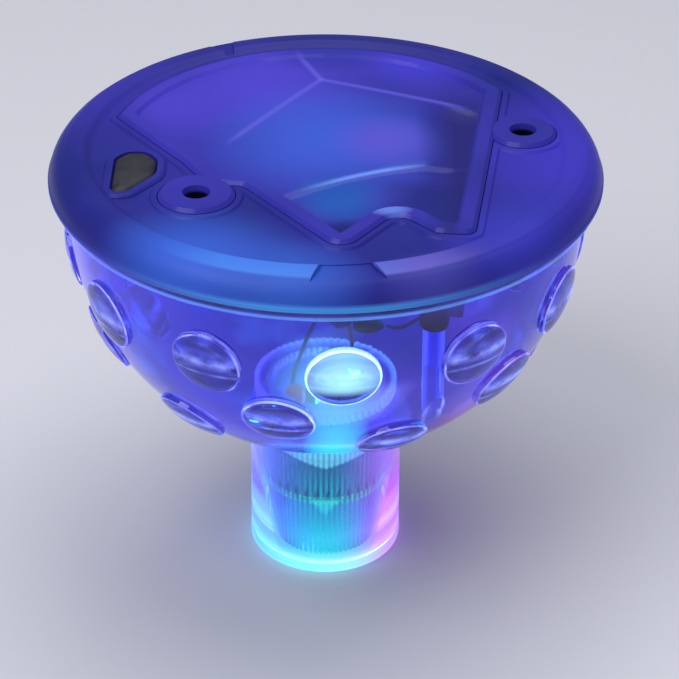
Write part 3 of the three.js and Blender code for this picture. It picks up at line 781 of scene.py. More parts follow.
CAP_PATCHES = (                    # painted patches where the lamps' light comes through: place, radius, colour
    ((60, -4), 42, (0.034, 0.027, 0.35)),
    ((-58, 30), 34, (0.026, 0.022, 0.26)),
    ((42, -42), 22, (0.030, 0.029, 0.34)),
    ((-28, -52), 26, (0.030, 0.088, 0.48)),
    ((-8, -60), 20, (0.026, 0.080, 0.42)),
    ((24, -60), 14, (0.040, 0.040, 0.28)),
)


def frosted(name, color, dark, patches, gloss):
    """Frosted blue-lit plastic with a faint glow: painted patches of the lamps' light over a deeper blue that is
    cloudy at random, and a fine etched grain.
    """
    paint = Paint(name, color, Roughness=gloss, Specular_IOR_Level=0.14, Emission_Strength=0.24)
    px, py, pz = paint.axes()
    cloud = paint.noise(26, 2, 0.4)
    tone = paint.mix(paint.span(cloud, 0.3, 0.7), dark, color)
    for (cx, cy), patch_r, light in patches:
        patch = (1 - ((px - cx) ** 2 + (py - cy) ** 2) / patch_r ** 2).clamped() ** 1.5
        tone = paint.mix(patch, tone, light)
    return paint, tone, (px, py, pz), cloud


cap_paint, tone, (x, y, z), cloud = frosted("frosted_cap", (0.019, 0.019, 0.21), (0.010, 0.013, 0.14), CAP_PATCHES,
                                            0.4)
out = cap_paint.away(0, 0)
front = cap_paint.span(y, 20, -50)

# painted highlights on the front of the raised ledge and on the skirt's edge, and painted shade on the cap's insides
ledge = cap_paint.span(out, 54.7, 55.2) * (1 - cap_paint.span(out, 60, 60.6)) * cap_paint.span(z, 108.8, 109.3)
ledge_light = cap_paint.mix(cap_paint.span(x, -6, 20), (0.040, 0.150, 0.56), (0.085, 0.070, 0.38))
lit_arc = (1 - cap_paint.span(x.absolute(), 22, 36)) * cap_paint.span(y, -40, -52)
tone = cap_paint.mix(ledge * lit_arc, tone, ledge_light)
hem = (1 - cap_paint.span(z, SKIRT_Z + 0.9, SKIRT_Z + 2.1)) * cap_paint.span(z, SKIRT_Z - 0.1, SKIRT_Z + 0.1)
hem_light = cap_paint.mix(cap_paint.span(x.absolute(), 12, 48), (0.050, 0.26, 0.66), (0.034, 0.042, 0.36))
tone = cap_paint.mix(hem * (front * 0.8 + 0.1) * cap_paint.span(out, 62.6, 63), tone, hem_light)
deep = (1 - cap_paint.span(z, 105, 107.5)) * (1 - cap_paint.span(out, 60, 61.5))
tone = cap_paint.mix(deep * 0.8, tone, (0.012, 0.014, 0.13))
cap_paint.set("Base Color", tone)
cap_paint.set("Emission Color", tone)
cap_paint.set("Roughness", cloud * 0.2 + 0.3)
cap_paint.bump(cap_paint.noise(0.5, 3), 0.012)
finish(cover, "housing", "frosted_plastic", cap_paint, "top_cover")


# ---------- battery door ----------
# A frosted lid, held by a captive screw in each round ear. A wide rib follows its waved front edge, and inside
# it the panel is crowned, with three fine ridges, and drops to a pocket at the front and one at the right.
DOOR_UNDER = 106.7
EAR_UNDER = 101.3
EAR_FLOOR = 102.7
HEAD_BORE = 2.9
RIB_W = 4
RIDGES = (((-1.3, 33.5), (-23.3, -1.3)), ((-1.3, 33.5), (-7.7, 49.3)), ((-1.3, 33.5), (34.6, 18.6)))


def ease(value):
    value = min(max(value, 0), 1)
    return value * value * (3 - 2 * value)


def crease_y(px):
    """The front edge of the crowned part of the panel."""
    return -17.8 + 0.6 * px - 0.0095 * px * px


def off_ridge(px, py):
    """How far a point is from the nearest ridge."""
    nearest = 99
    for begin, end in RIDGES:
        begin, along = Vector(begin), Vector(end) - Vector(begin)
        share = min(max((Vector((px, py)) - begin).dot(along) / along.length_squared, 0), 1)
        nearest = min(nearest, (Vector((px, py)) - begin - along * share).length)
    return nearest


def panel_height(px, py):
    in_front = crease_y(px) - py
    crown = TOP_Z + 0.02 - 0.9 * ease(math.hypot(px + 4, py - 8) / 52)
    ridge = 0.22 * ease(1 - off_ridge(px, py) / 1.6)
    step = 0.95 * ease(in_front / 1.9) + 1.0 * ease((in_front - 3) / 14)
    right = 1.5 * ease((px - 20) / 11) * ease((22 - py) / 10)
    return max(min(crown + ridge - step - right, TOP_Z + 0.2), DOOR_UNDER + 0.8)


door = door_shape(0, DOOR_UNDER, TOP_Z, 0.8)
turn_into_place(door)

# everything above the panel's surface, inside the rib, is cut away
bpy.ops.object.select_all(action="DESELECT")
bpy.ops.mesh.primitive_grid_add(x_subdivisions=130, y_subdivisions=150, size=1, location=(0, 0, 0))
above = bpy.context.object
above.scale = (104 * MM, 120 * MM, 1)
settle(above)
for vertex in above.data.vertices:
    vertex.co.z = panel_height(vertex.co.x / MM, vertex.co.y / MM) * MM
bpy.ops.object.mode_set(mode="EDIT")
bpy.ops.mesh.select_all(action="SELECT")
bpy.ops.mesh.extrude_region_move(TRANSFORM_OT_translate={"value": (0, 0, 4 * MM)})
close_up()
inside_rib = stacked("inside_rib", (outline(DOOR, RIB_W + 0.9), DOOR_UNDER), (outline(DOOR, RIB_W + 0.5), 109.2),
                     (outline(DOOR, RIB_W - 0.5), TOP_Z + 0.1), (outline(DOOR, RIB_W - 0.5), TOP_Z + 1))
combine(above, turn_into_place(inside_rib), "INTERSECT")
combine(door, above, "DIFFERENCE")

ear_work = []
for at, _ in EARS:
    stub_r = EAR_POCKET_R - 0.5
    ear_work.append((turned("stub", [(0, EAR_UNDER), (stub_r - 0.2, EAR_UNDER), (stub_r, EAR_UNDER + 0.3),
                                     (stub_r, DOOR_UNDER + 1), (0, DOOR_UNDER + 1)], 60, at), "UNION"))
    ear_work.append((turned("counterbore", [(0, EAR_FLOOR), (HEAD_BORE, EAR_FLOOR), (HEAD_BORE, TOP_Z - 0.7),
                                            (HEAD_BORE + 0.25, TOP_Z - 0.1), (HEAD_BORE + 0.4, TOP_Z + 1),
                                            (0, TOP_Z + 1)], 48, at), "DIFFERENCE"))
    ear_work.append((drum(BOSS_BORE, EAR_UNDER - 1, EAR_FLOOR + 1, at, 32), "DIFFERENCE"))
for tool, operation in ear_work:
    combine(door, turn_into_place(tool), operation)
smooth(door, 32)

# painted patches of the lamps' light on the door, one of them dimmer, at the back: place, radius, colour
DOOR_PATCHES = (
    ((-16, 30), 32, (0.052, 0.037, 0.43)),
    ((-36, 20), 18, (0.048, 0.034, 0.40)),
    ((22, 46), 18, (0.038, 0.030, 0.42)),
    ((0, 2), 32, (0.032, 0.074, 0.46)),
    ((14, 2), 15, (0.070, 0.062, 0.44)),
    ((0, 52), 16, (0.022, 0.022, 0.27)),
    ((3, -24), 12, (0.008, 0.066, 0.32)),
)
door_paint, tone, (x, y, z), cloud = frosted("frosted_door", (0.030, 0.025, 0.30), (0.018, 0.018, 0.21),
                                             DOOR_PATCHES, 0.3)
u = x * math.cos(TURN) + y * math.sin(TURN)

# painted shade darkens the two pockets, the panel's front slope and the screws' bores below their edges
front_slope = door_paint.span(x, 12, 20) * (1 - door_paint.span(y, -19, -14)) * (
    1 - door_paint.span(z, 108.4, 109.6))
tone = door_paint.mix(front_slope * 0.85, tone, (0.008, 0.013, 0.14))
right_pocket = door_paint.span(x, 21, 30) * (1 - door_paint.span(u, 32.5, 34.5)) * (1 - door_paint.span(y, 16, 28))
tone = door_paint.mix(right_pocket * 0.9, tone, (0.010, 0.010, 0.115))
front_pocket = (1 - (((x - 5) / 10) ** 2 + ((y + 38) / 7) ** 2) ** 0.5).clamped()
below_rib = 1 - door_paint.span(z, 107.4, 109.3)
tone = door_paint.mix((front_pocket * 1.7).clamped() * below_rib, tone, (0.006, 0.011, 0.11))
for at, _ in EARS:
    in_bore = 1 - door_paint.span(door_paint.away(*turned_point(at)), HEAD_BORE + 0.05, HEAD_BORE + 0.25)
    tone = door_paint.mix(in_bore * (1 - door_paint.span(z, 108.2, 109)), tone, (0.001, 0.001, 0.006))

# painted highlights on the ridges, the rib's bend and the step in front of the crown
for begin, end in RIDGES:
    (from_x, from_y), way = begin, Vector(end) - Vector(begin)
    length, way = way.length, way.normalized()
    right, back = x - from_x, y - from_y
    along = right * way.x + back * way.y
    beside = right * way.y - back * way.x
    on_ridge = door_paint.peak(beside, 0, 1.2) * door_paint.span(along, -1, 0) * (
        1 - door_paint.span(along, length - 6, length))
    tone = door_paint.mix(on_ridge * 0.7, tone, (0.095, 0.085, 0.52))
glint = (1 - (((x - 14) / 5.5) ** 2 + ((y + 31.5) / 3.2) ** 2)).clamped()
tone = door_paint.mix(glint * 0.8, tone, (0.11, 0.20, 0.62))
step_face = door_paint.peak(z, 109.25, 0.35) * door_paint.span(x, -6, 4) * (1 - door_paint.span(x, 14, 26)) * (
    door_paint.span(y, -26, -20) * (1 - door_paint.span(y, -11, -6)))
tone = door_paint.mix(step_face, tone, (0.10, 0.22, 0.72))
door_paint.set("Base Color", tone)
door_paint.set("Emission Color", tone)
door_paint.set("Roughness", cloud * 0.16 + 0.28)
door_paint.set("Coat Weight", 0.1)
door_paint.bump(door_paint.noise(0.5, 3), 0.008)
finish(door, "door", "frosted_plastic", door_paint, "battery_door")


# ---------- door gasket ----------
# A flat black rubber seal, die-cut to the door's outline, with a raised bead along its middle.
gasket_low = GASKET_LEDGE_Z + 0.3
gasket_high = DOOR_UNDER - 0.3
door_gasket = stacked("door_gasket", (outline(DOOR, 1.1), gasket_low), (outline(DOOR, 1), gasket_low + 0.1),
                      (outline(DOOR, 1), gasket_high - 0.2), (outline(DOOR, 1.3), gasket_high))
gasket_hole = stacked("gasket_hole", (outline(DOOR, 3.2), gasket_low - 1), (outline(DOOR, 3.2), gasket_high - 0.2),
                      (outline(DOOR, 2.9), gasket_high), (outline(DOOR, 2.9), gasket_high + 1))
combine(door_gasket, gasket_hole, "DIFFERENCE")
turn_into_place(door_gasket)
smooth(door_gasket, 35)
finish(door_gasket, "housing", "black_rubber", black_rubber, "door_gasket")


# ---------- door screws and their seals ----------
# Two stainless cross-recess screws with pan heads, each with a small rubber ring under its head. They stay in
# the door when it comes off.
HEAD_LOW = EAR_FLOOR + 1.3
HEAD_HIGH = HEAD_LOW + 1.9
HEAD_R = 2.55
THREAD_PITCH = 0.8


thread = []
for i in range(5):
    z = 98.2 + i * THREAD_PITCH
    thread += [(1.2, z), (1.45, z + 0.3), (1.45, z + 0.4), (1.2, z + 0.7)]
screw_profile = [(0, 96.5), (0.35, 96.6), (1.2, 97.9), *thread, (1.2, HEAD_LOW), (HEAD_R - 0.2, HEAD_LOW),
                 (HEAD_R, HEAD_LOW + 0.2), (HEAD_R, HEAD_LOW + 0.9), (2.35, HEAD_LOW + 1.35), (1.9, HEAD_LOW + 1.68),
                 (1.2, HEAD_HIGH - 0.06), (0, HEAD_HIGH)]
steel = Paint("stainless_steel", (0.55, 0.56, 0.60), Metallic=1.0, Roughness=0.3)
scratches = steel.noise(0.7, 4)
steel.set("Base Color", steel.mix(scratches, (0.34, 0.35, 0.42), (0.66, 0.67, 0.72)))
steel.set("Roughness", scratches * 0.3 + 0.2)
for side, (at, _) in zip(("left", "right"), EARS):
    screw = turned(f"door_screw_{side}", screw_profile, 48)
    for sx, sy in ((1.5, 0.3), (0.3, 1.5)):
        combine(screw, slab("slot", (-sx, -sy, HEAD_HIGH - 1.1), (sx, sy, HEAD_HIGH + 1)), "DIFFERENCE")
    soften(screw, 0.06, 1, 60)
    smooth(screw, 40)
    screw.rotation_euler.z = math.radians(28)
    screw.location = (*(Vector(turned_point(at)) * MM), 0)
    settle(screw)
    finish(screw, f"screw_{side}", "screw_steel", steel, f"door_screw_{side}")
    seal = turned(f"screw_seal_{side}", [
        (1.65, EAR_FLOOR + 0.45), (1.8, EAR_FLOOR + 0.3), (2.3, EAR_FLOOR + 0.3), (2.5, EAR_FLOOR + 0.5),
        (2.5, HEAD_LOW - 0.5), (2.3, HEAD_LOW - 0.3), (1.8, HEAD_LOW - 0.3), (1.65, HEAD_LOW - 0.45),
        (1.65, EAR_FLOOR + 0.45),
    ], 48, turned_point(at))
    smooth(seal, 30)
    finish(seal, "door", "black_rubber", black_rubber, f"screw_seal_{side}")


# ---------- push button ----------
# A soft dark grey rubber button, D-shaped with its lower corner drawn in. Its flange is trapped under the cap,
# and the post under it reaches down to the switch.
FLANGE_TOP = WEB_UNDER - 0.4
FLANGE_LOW = FLANGE_TOP - 1.2
BUTTON_TOP = 109.8
POST_LOW = 98.9
button = stacked("push_button", *((button_points(inset), level) for inset, level in (
    (-0.7, FLANGE_LOW), (-0.8, FLANGE_LOW + 0.15), (-0.8, FLANGE_TOP - 0.15), (-0.7, FLANGE_TOP),
    (0, FLANGE_TOP + 0.01), (0, BUTTON_TOP - 1.0), (0.25, BUTTON_TOP - 0.65), (0.6, BUTTON_TOP - 0.38),
    (1.0, BUTTON_TOP - 0.2), (1.4, BUTTON_TOP - 0.08), (1.6, BUTTON_TOP))))
combine(button, turned("push_post", [(0, POST_LOW), (1.9, POST_LOW), (2.2, POST_LOW + 0.3), (2.2, FLANGE_LOW + 0.5),
                                     (0, FLANGE_LOW + 0.5)], 40, BUTTON_AT), "UNION")
smooth(button, 40)
grey_rubber = rubber("grey_rubber", (0.010, 0.010, 0.018), (0.028, 0.028, 0.034))
finish(button, "button", "grey_rubber", grey_rubber, "push_button")


# ---------- switch under the button ----------
# A tactile switch on its own small circuit board, in a white plastic carrier whose two legs clip under the cap.
PLUNGER_TOP = POST_LOW - 0.8
PLUNGER_R = 1.5
SWITCH_TOP = 96.6
SWITCH_LOW = 93
SWITCH_BOARD_LOW = 91.5
bx, by = BUTTON_AT


def moulded(name, color, lighter, rough=0.42):
    """Plain moulded plastic, a little cloudy, with a fine grain."""
    paint = Paint(name, color, Roughness=rough)
    cloud = paint.noise(5, 3)
    paint.set("Base Color", paint.mix(cloud, color, lighter))
    paint.set("Roughness", cloud * 0.2 + (rough - 0.1))
    paint.bump(paint.noise(0.3, 2), 0.008)
    return paint


black_plastic = moulded("black_plastic", (0.008, 0.008, 0.010), (0.022, 0.022, 0.026))
white_plastic = moulded("white_plastic", (0.62, 0.62, 0.66), (0.78, 0.78, 0.80))

plunger = turned("switch_plunger", [
    (0, SWITCH_TOP - 0.8), (PLUNGER_R, SWITCH_TOP - 0.8), (PLUNGER_R, PLUNGER_TOP - 0.35),
    (PLUNGER_R - 0.15, PLUNGER_TOP - 0.1), (PLUNGER_R - 0.4, PLUNGER_TOP), (0.5, PLUNGER_TOP),
    (0.3, PLUNGER_TOP - 0.12), (0, PLUNGER_TOP - 0.15),
], 40, BUTTON_AT)
smooth(plunger, 35)
finish(plunger, "plunger", "black_plastic", black_plastic, "switch_plunger")

switch = slab("switch_body", (bx - 3, by - 3, SWITCH_LOW), (bx + 3, by + 3, SWITCH_TOP - 0.35))
soften(switch, 0.25, 2)
combine(switch, slab("lid", (bx - 2.7, by - 2.7, SWITCH_TOP - 1), (bx + 2.7, by + 2.7, SWITCH_TOP)), "UNION")
for px, py in ((-2.1, -2.1), (2.1, -2.1), (-2.1, 2.1), (2.1, 2.1)):
    rivet = turned("rivet", [(0, SWITCH_TOP - 0.5), (0.4, SWITCH_TOP - 0.5), (0.4, SWITCH_TOP + 0.05),
                             (0.2, SWITCH_TOP + 0.15), (0, SWITCH_TOP + 0.18)], 16, (bx + px, by + py))
    combine(switch, rivet, "UNION")
combine(switch, drum(PLUNGER_R + 0.3, SWITCH_TOP - 1.6, SWITCH_TOP + 1, BUTTON_AT, 40), "DIFFERENCE")
smooth(switch, 35)
switch_paint = moulded("switch_plastic", (0.010, 0.010, 0.012), (0.03, 0.03, 0.034))
switch_paint.set("Metallic", switch_paint.span(switch_paint.axes()[2], SWITCH_TOP - 0.36, SWITCH_TOP - 0.3))
finish(switch, "housing", "black_plastic", switch_paint, "switch_body")


def board_paint(name, copper_spots):
    """Green solder mask over glass cloth, with bright tinned pads."""
    paint = Paint(name, (0.02, 0.16, 0.05), Roughness=0.35, Specular_IOR_Level=0.5)
    px, py, _ = paint.axes()
    mottle = paint.noise(2.2, 4)
    tone = paint.mix(mottle, (0.012, 0.11, 0.04), (0.03, 0.21, 0.075))
    weave = ((px * 5.2).sine() * (py * 5.2).sine()).absolute() * 0.25
    tone = paint.mix(weave, tone, (0.06, 0.26, 0.10))
    pads = None
    for cx, cy, pad_r in copper_spots:
        spot = ((pad_r ** 2 - ((px - cx) ** 2 + (py - cy) ** 2)) * 4).clamped()
        pads = spot if pads is None else (pads + spot).clamped()
    paint.set("Base Color", paint.mix(pads, tone, (0.62, 0.62, 0.60)))
    paint.set("Metallic", pads)
    paint.set("Roughness", mottle * 0.15 + 0.25)
    return paint


def solder(at, level, pad_r):
    """A low cone of solder on a pad."""
    return turned("solder", [(0, level - 0.3), (pad_r, level - 0.3), (pad_r, level + 0.02),
                             (pad_r * 0.7, level + 0.12), (pad_r * 0.35, level + 0.26), (0, level + 0.28)], 20, at)


switch_pads = [(bx + 3.9, -11, 0.75), (bx + 3.9, -14.6, 0.75), (bx - 3.9, by - 3, 0.5), (bx - 3.9, by + 3, 0.5)]
board = slab("switch_board", (bx - 4.6, by - 6.2, SWITCH_BOARD_LOW), (bx + 4.6, by + 6.2, SWITCH_LOW - 0.2))
soften(board, 0.12, 1)
for px, py, pad_r in switch_pads:
    combine(board, solder((px, py), SWITCH_LOW - 0.2, pad_r), "UNION")
smooth(board, 35)
finish(board, "housing", "circuit_board", board_paint("switch_board_green", switch_pads), "switch_board")

carrier = slab("switch_carrier", (bx - 5, by - 8.2, SWITCH_BOARD_LOW - 2), (bx + 5, by + 8.2, SWITCH_BOARD_LOW - 0.3))
for side in (-1, 1):
    near, far = sorted((by + side * 6.6, by + side * 8.2))
    leg = slab("leg", (bx - 3, near, SWITCH_BOARD_LOW - 2), (bx + 3, far, 103.2))
    combine(carrier, leg, "UNION")
    window = slab("window", (bx - 1.2, near - 1, 96), (bx + 1.2, far + 1, 101))
    combine(carrier, window, "DIFFERENCE")
combine(carrier, slab("opening", (bx - 2.5, by - 3, 88), (bx + 2.5, by + 3, 92)), "DIFFERENCE")
soften(carrier, 0.25, 2)
smooth(carrier, 35)
finish(carrier, "housing", "white_plastic", white_plastic, "switch_carrier")


# ---------- cells ----------
# Three AAA cells side by side, alternating end for end: a steel can in a printed plastic sleeve that shrinks
# over both rims, with a pip at one end.
CELL_R = 5.25
CELL_HALF = 22.25
SHOULDER = CELL_HALF - 1.1
CELL_Z = TUB_FLOOR + 0.4 + CELL_R
sleeve = Paint("cell_sleeve", (0.02, 0.20, 0.09), Roughness=0.28, Coat_Weight=0.3)
x, y, _ = sleeve.axes()
from_middle = (y * math.cos(TURN) - x * math.sin(TURN) - CELLS_AT[1]).absolute()
ends = sleeve.span(from_middle, 20.85, 20.95)
band = sleeve.span(from_middle, 14.2, 14.4)
scuffs = sleeve.noise(1.5, 5)
tone = sleeve.mix(band, sleeve.mix(scuffs, (0.015, 0.15, 0.07), (0.03, 0.24, 0.12)), (0.012, 0.013, 0.015))
tone = sleeve.mix(sleeve.peak(from_middle, 14.3, 0.4), tone, (0.70, 0.62, 0.30))
sleeve.set("Base Color", sleeve.mix(ends, tone, (0.60, 0.60, 0.62)))
sleeve.set("Metallic", ends)
sleeve.set("Roughness", scuffs * 0.25 + 0.2)
for i in range(3):
    way = 1 if i % 2 == 0 else -1
    cell = turned(f"aaa_cell_{i + 1}", [
        (0, -CELL_HALF), (3.2, -CELL_HALF), (3.4, -CELL_HALF + 0.2), (4.2, -CELL_HALF + 0.2), (4.5, -CELL_HALF),
        (4.9, -CELL_HALF), (CELL_R - 0.1, -CELL_HALF + 0.25), (CELL_R, -CELL_HALF + 0.6), (CELL_R, -21.0),
        (CELL_R - 0.06, -20.9), (CELL_R - 0.06, 19.9), (CELL_R, 20.0), (CELL_R, SHOULDER - 0.5),
        (CELL_R - 0.15, SHOULDER - 0.15), (4.8, SHOULDER), (4.4, SHOULDER - 0.15), (2.9, SHOULDER - 0.15),
        (2.6, SHOULDER), (1.9, SHOULDER), (1.9, CELL_HALF - 0.25), (1.7, CELL_HALF - 0.05), (1.5, CELL_HALF),
        (0, CELL_HALF),
    ], 64)
    smooth(cell, 35)
    cell.rotation_euler.x = -way * math.pi / 2
    cell.location = Vector((CELLS_AT[0] + (i - 1) * CELL_PITCH, CELLS_AT[1], CELL_Z)) * MM
    settle(cell)
    turn_into_place(cell)
    finish(cell, "housing", "cell_wrap", sleeve, f"aaa_cell_{i + 1}")


# ---------- cell contacts ----------
# A nickel-plated coil spring against the flat end of each cell and a stamped plate against its pip.
def wire(name, points, radius, sides=5):
    """A round wire along a smooth line through the points."""
    line = bpy.data.curves.new(name, "CURVE")
    line.dimensions = "3D"
    line.bevel_depth = radius * MM
    line.bevel_resolution = sides
    line.use_fill_caps = True
    line.resolution_u = 8
    spline = line.splines.new("BEZIER")
    spline.bezier_points.add(len(points) - 1)
    for knot, point in zip(spline.bezier_points, points):
        knot.co = Vector(point) * MM
        knot.handle_left_type = knot.handle_right_type = "AUTO"
    piece = bpy.data.objects.new(name, line)
    bpy.context.scene.collection.objects.link(piece)
    bpy.ops.object.select_all(action="DESELECT")
    bpy.context.view_layer.objects.active = piece
    piece.select_set(True)
    bpy.ops.object.convert(target="MESH")
    bpy.ops.object.mode_set(mode="EDIT")
    close_up()
    smooth(piece, 50)
    return piece


SPRING_TURNS = 2.5
SPRING_LENGTH = 2.2
for i in range(3):
    way = 1 if i % 2 == 0 else -1
    u = CELLS_AT[0] + (i - 1) * CELL_PITCH
    end = CELLS_AT[1] - way * (CELL_HALF + 0.6)
    coil = []
    for k in range(31):
        turn = k / 30 * SPRING_TURNS * 2 * math.pi
        coil_r = 1.7 + 1.4 * k / 30
        coil.append((u + coil_r * math.cos(turn), end - way * SPRING_LENGTH * k / 30,
                     CELL_Z + coil_r * math.sin(turn)))
    spring = turn_into_place(wire(f"contact_spring_{i + 1}", coil, 0.3, 3))
    finish(spring, "housing", "contact_steel", steel, f"contact_spring_{i + 1}")

    face = CELLS_AT[1] + way * (CELL_HALF + 0.3)
    near, far = sorted((face, face + way * 0.5))
    plate = slab(f"contact_plate_{i + 1}", (u - 4, near, CELL_Z - 3.5), (u + 4, far, CELL_Z + 3.5))
    soften(plate, 0.12, 2)
    dimple = turned("dimple", [(0, -0.3), (1.6, -0.3), (1.6, 0.02), (1.2, 0.14), (0.6, 0.2), (0, 0.22)], 32)
    dimple.rotation_euler.x = way * math.pi / 2
    dimple.location = Vector((u, face, CELL_Z)) * MM
    settle(dimple)
    combine(plate, dimple, "UNION")
    turn_into_place(plate)
    smooth(plate, 35)
    finish(plate, "housing", "contact_steel", steel, f"contact_plate_{i + 1}")


# ---------- light board ----------
# A round circuit board on a step inside the light cup, with five 5 mm lamps on top, and the chip under a blob
# of black resin and two resistors below.
LAMP_R = 2.5
LAMP_Z = BOARD_Z + 1.5
LAMPS = (                          # name, slot, colour, place, brightness
    ("led_green", "green_lamp", (0.08, 1.0, 0.66), (0, 0), 12),
    ("led_red_1", "red_lamp", (0.9, 0.05, 0.09), (7.4, 0), 0.8),
    ("led_red_2", "red_lamp", (0.9, 0.05, 0.09), (-7.4, 0), 0.6),
    ("led_blue_1", "blue_lamp", (0.10, 0.25, 1.0), (0, 7.4), 2.5),
    ("led_blue_2", "blue_lamp", (0.10, 0.25, 1.0), (0, -7.4), 2.5),
)
light_pads = [(8.8, 5.2, 0.9), (-8.8, 5.2, 0.9)]
light_pads += [(at[0] + side, at[1] + 3.5, 0.45) for *_, at, _ in LAMPS for side in (-0.9, 0.9)]
light_board = turned("led_board", [(0, BOARD_Z), (12.15, BOARD_Z), (12.3, BOARD_Z + 0.15), (12.3, BOARD_Z + 1.05),
                                   (12.15, BOARD_Z + 1.2), (0, BOARD_Z + 1.2)], 80)
for px, py, pad_r in light_pads:
    combine(light_board, solder((px, py), BOARD_Z + 1.2, pad_r), "UNION")
smooth(light_board, 35)
finish(light_board, "housing", "circuit_board", board_paint("light_board_green", light_pads), "led_board")

for name, slot, color, at, strength in LAMPS:
    lamp = turned(name, [
        (0, LAMP_Z), (LAMP_R + 0.3, LAMP_Z), (LAMP_R + 0.4, LAMP_Z + 0.1), (LAMP_R + 0.4, LAMP_Z + 0.85),
        (LAMP_R + 0.3, LAMP_Z + 1), (LAMP_R, LAMP_Z + 1.05), *arc(LAMP_R, 0, 84, 10, (0, LAMP_Z + 6)),
        (0, LAMP_Z + 8.5),
    ], 48, at)
    smooth(lamp, 40)
    lamp_paint = Paint(f"{name}_epoxy", color, Roughness=0.12, Emission_Strength=strength)
    core = (1 - lamp_paint.away(*at) / 2.6).clamped()
    lit = lamp_paint.span(lamp_paint.axes()[2], LAMP_Z + 1, LAMP_Z + 7) * 0.6 + core * 0.4
    pale = tuple(0.55 + 0.45 * part for part in color)
    dim = tuple(part * 0.5 for part in color)
    lamp_paint.set("Emission Color", lamp_paint.mix(lit, dim, lamp_paint.mix(core * 0.5, color, pale)))
    finish(lamp, "housing", slot, lamp_paint, name)

chip = turned("control_chip", [
    (0, BOARD_Z - 1.9), (1.0, BOARD_Z - 1.87), (2.0, BOARD_Z - 1.7), (2.8, BOARD_Z - 1.3), (3.25, BOARD_Z - 0.8),
    (3.4, BOARD_Z - 0.5), (3.4, BOARD_Z - 0.3), (0, BOARD_Z - 0.3),
], 40, (4, 3))
smooth(chip, 50)
finish(chip, "housing", "black_plastic", black_plastic, "control_chip")

RESISTOR_BANDS = ((-1.3, (0.24, 0.07, 0.02)), (-0.5, (0.01, 0.01, 0.01)), (0.1, (0.45, 0.02, 0.02)),
                  (1.3, (0.50, 0.34, 0.06)))
for i, ry in enumerate((-5, -8)):
    resistor = turned(f"resistor_{i + 1}", [
        (0, -2.6), (0.28, -2.6), (0.3, -2.2), (0.62, -2.1), (0.86, -1.75), (0.9, -1.3), (0.86, -0.95), (0.72, -0.7),
        (0.7, 0), (0.72, 0.7), (0.86, 0.95), (0.9, 1.3), (0.86, 1.75), (0.62, 2.1), (0.3, 2.2), (0.28, 2.6), (0, 2.6),
    ], 32)
    resistor.rotation_euler.y = math.pi / 2
    resistor.location = Vector((0, ry, BOARD_Z - 1.3)) * MM
    settle(resistor)
    smooth(resistor, 50)
    body_paint = Paint(f"resistor_{i + 1}_lacquer", (0.60, 0.42, 0.24), Roughness=0.35)
    x = body_paint.axes()[0]
    tone = body_paint.mix(body_paint.noise(1.2), (0.52, 0.36, 0.20), (0.66, 0.48, 0.29))
    for centre, ink in RESISTOR_BANDS:
        tone = body_paint.mix(body_paint.peak(x, centre, 0.22) ** 0.3, tone, ink)
    leads = body_paint.span(x.absolute(), 2.05, 2.12)
    body_paint.set("Base Color", body_paint.mix(leads, tone, (0.6, 0.6, 0.62)))
    body_paint.set("Metallic", leads)
    finish(resistor, "housing", "resistor_body", body_paint, f"resistor_{i + 1}")


# ---------- leads ----------
# Red and black stranded leads run from the compartment's underside down to the light board, and a pair runs
# across from the switch.
def insulation(name, color, lighter, glow):
    """Soft vinyl, with a little of the lamps' light painted on as a faint glow."""
    paint = Paint(name, color, Roughness=0.38, Emission_Strength=0.5)
    cloud = paint.noise(4, 3)
    paint.set("Base Color", paint.mix(cloud, color, lighter))
    paint.set("Emission Color", paint.mix(cloud, tuple(part * 0.5 for part in glow), glow))
    paint.set("Roughness", cloud * 0.2 + 0.28)
    return paint


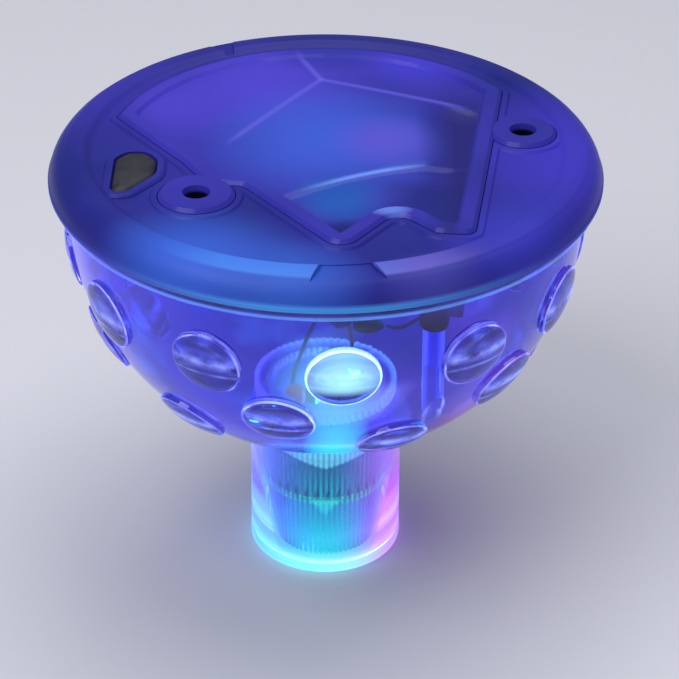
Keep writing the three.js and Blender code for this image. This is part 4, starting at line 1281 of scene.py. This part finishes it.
red_insulation = insulation("red_insulation", (0.30, 0.015, 0.03), (0.42, 0.03, 0.06), (0.16, 0.03, 0.22))
black_insulation = insulation("black_insulation", (0.008, 0.008, 0.014), (0.025, 0.025, 0.04), (0.03, 0.03, 0.20))
tub_under = TUB_UNDER - 0.3
LEAD_R = 0.55
for name, slot, paint, points in (
    ("battery_lead_red", "red_insulation", red_insulation,
     ((5, 17, tub_under), (5, 17, 84), (5, 14, 70), (5.5, 10, 58), (6.5, 8.5, 50), (8, 6.5, 42),
      (8.8, 5.2, BOARD_Z + 1.5))),
    ("battery_lead_black", "black_insulation", black_insulation,
     ((-0.5, 17, tub_under), (-0.5, 17, 84), (-0.5, 14, 70), (-2, 11, 58), (-5, 9, 50), (-7.8, 6.5, 42),
      (-8.8, 5.2, BOARD_Z + 1.5))),
    ("switch_lead_1", "red_insulation", red_insulation,
     ((-38.3, -11, 92.2), (-33.3, -11, 91.2), (-27, -11, 86), (-18, -9, 87), (-10, -8, 91),
      (-8.6, -8, tub_under))),
    ("switch_lead_2", "black_insulation", black_insulation,
     ((-38.3, -14.6, 92.2), (-33.3, -14.6, 91.2), (-27, -14.6, 86), (-18, -12.6, 87), (-10, -11.6, 91),
      (-8.6, -11.6, tub_under))),
):
    finish(wire(name, points, LEAD_R), "housing", slot, paint, name)


# ---------- sealant and the lead it holds ----------
# Black sealant dabbed by hand over the front right post and beside the tip of the compartment holds a thin
# black lead that hangs between them.
def dab(name, centre, size, wobble):
    """A lump of sealant, its skin uneven."""
    bpy.ops.object.select_all(action="DESELECT")
    bpy.ops.mesh.primitive_ico_sphere_add(subdivisions=4, radius=1, location=(0, 0, 0))
    lump = bpy.context.object
    lump.name = name
    for vertex in lump.data.vertices:
        cx, cy, cz = vertex.co
        swell = 1 + wobble * math.sin(3.1 * cx + 1.3) * math.cos(2.7 * cy - 0.4) + (
            0.5 * wobble * math.sin(5.3 * cz + 2 * cx))
        vertex.co = Vector((centre[i] + size[i] * vertex.co[i] * swell for i in range(3))) * MM
    smooth(lump, 80)
    return lump


WALL_DAB = (9.4, -41.9, 86.9)
px, py = arc(POST_RING_R, POST_ANGLES[0], POST_ANGLES[0], 1)[0]
post_dab = turned("post_sealant", [
    (0, POST_TOP + 0.3), (2.5, POST_TOP + 0.3), (2.5, POST_TOP - 2.1), (2.8, POST_TOP - 2.4), (3.1, POST_TOP - 2),
    (3.3, POST_TOP - 0.6), (3.1, POST_TOP + 1), (2.75, POST_TOP + 2.3), (2.6, POST_TOP + 2.9), (2.3, POST_TOP + 3.3),
    (0, POST_TOP + 3.4)], 40, (px, py))
smooth(post_dab, 60)
sealant = rubber("sealant", (0.006, 0.007, 0.012), (0.02, 0.022, 0.04))
sealant.bump(sealant.noise(1.1, 3), 0.12)
finish(post_dab, "housing", "sealant", sealant, "post_sealant")
finish(dab("wall_sealant", WALL_DAB, (3.6, 1.9, 1.8), 0.07), "housing", "sealant", sealant, "wall_sealant")
anchored_from = (WALL_DAB[0] + 3.9, WALL_DAB[1] - 0.2, WALL_DAB[2])
anchored = wire("anchored_lead", (anchored_from, (16, -43.2, 87), (px - 3.2, py + 0.2, 90)), 0.45)
finish(anchored, "housing", "black_insulation", black_insulation, "anchored_lead")
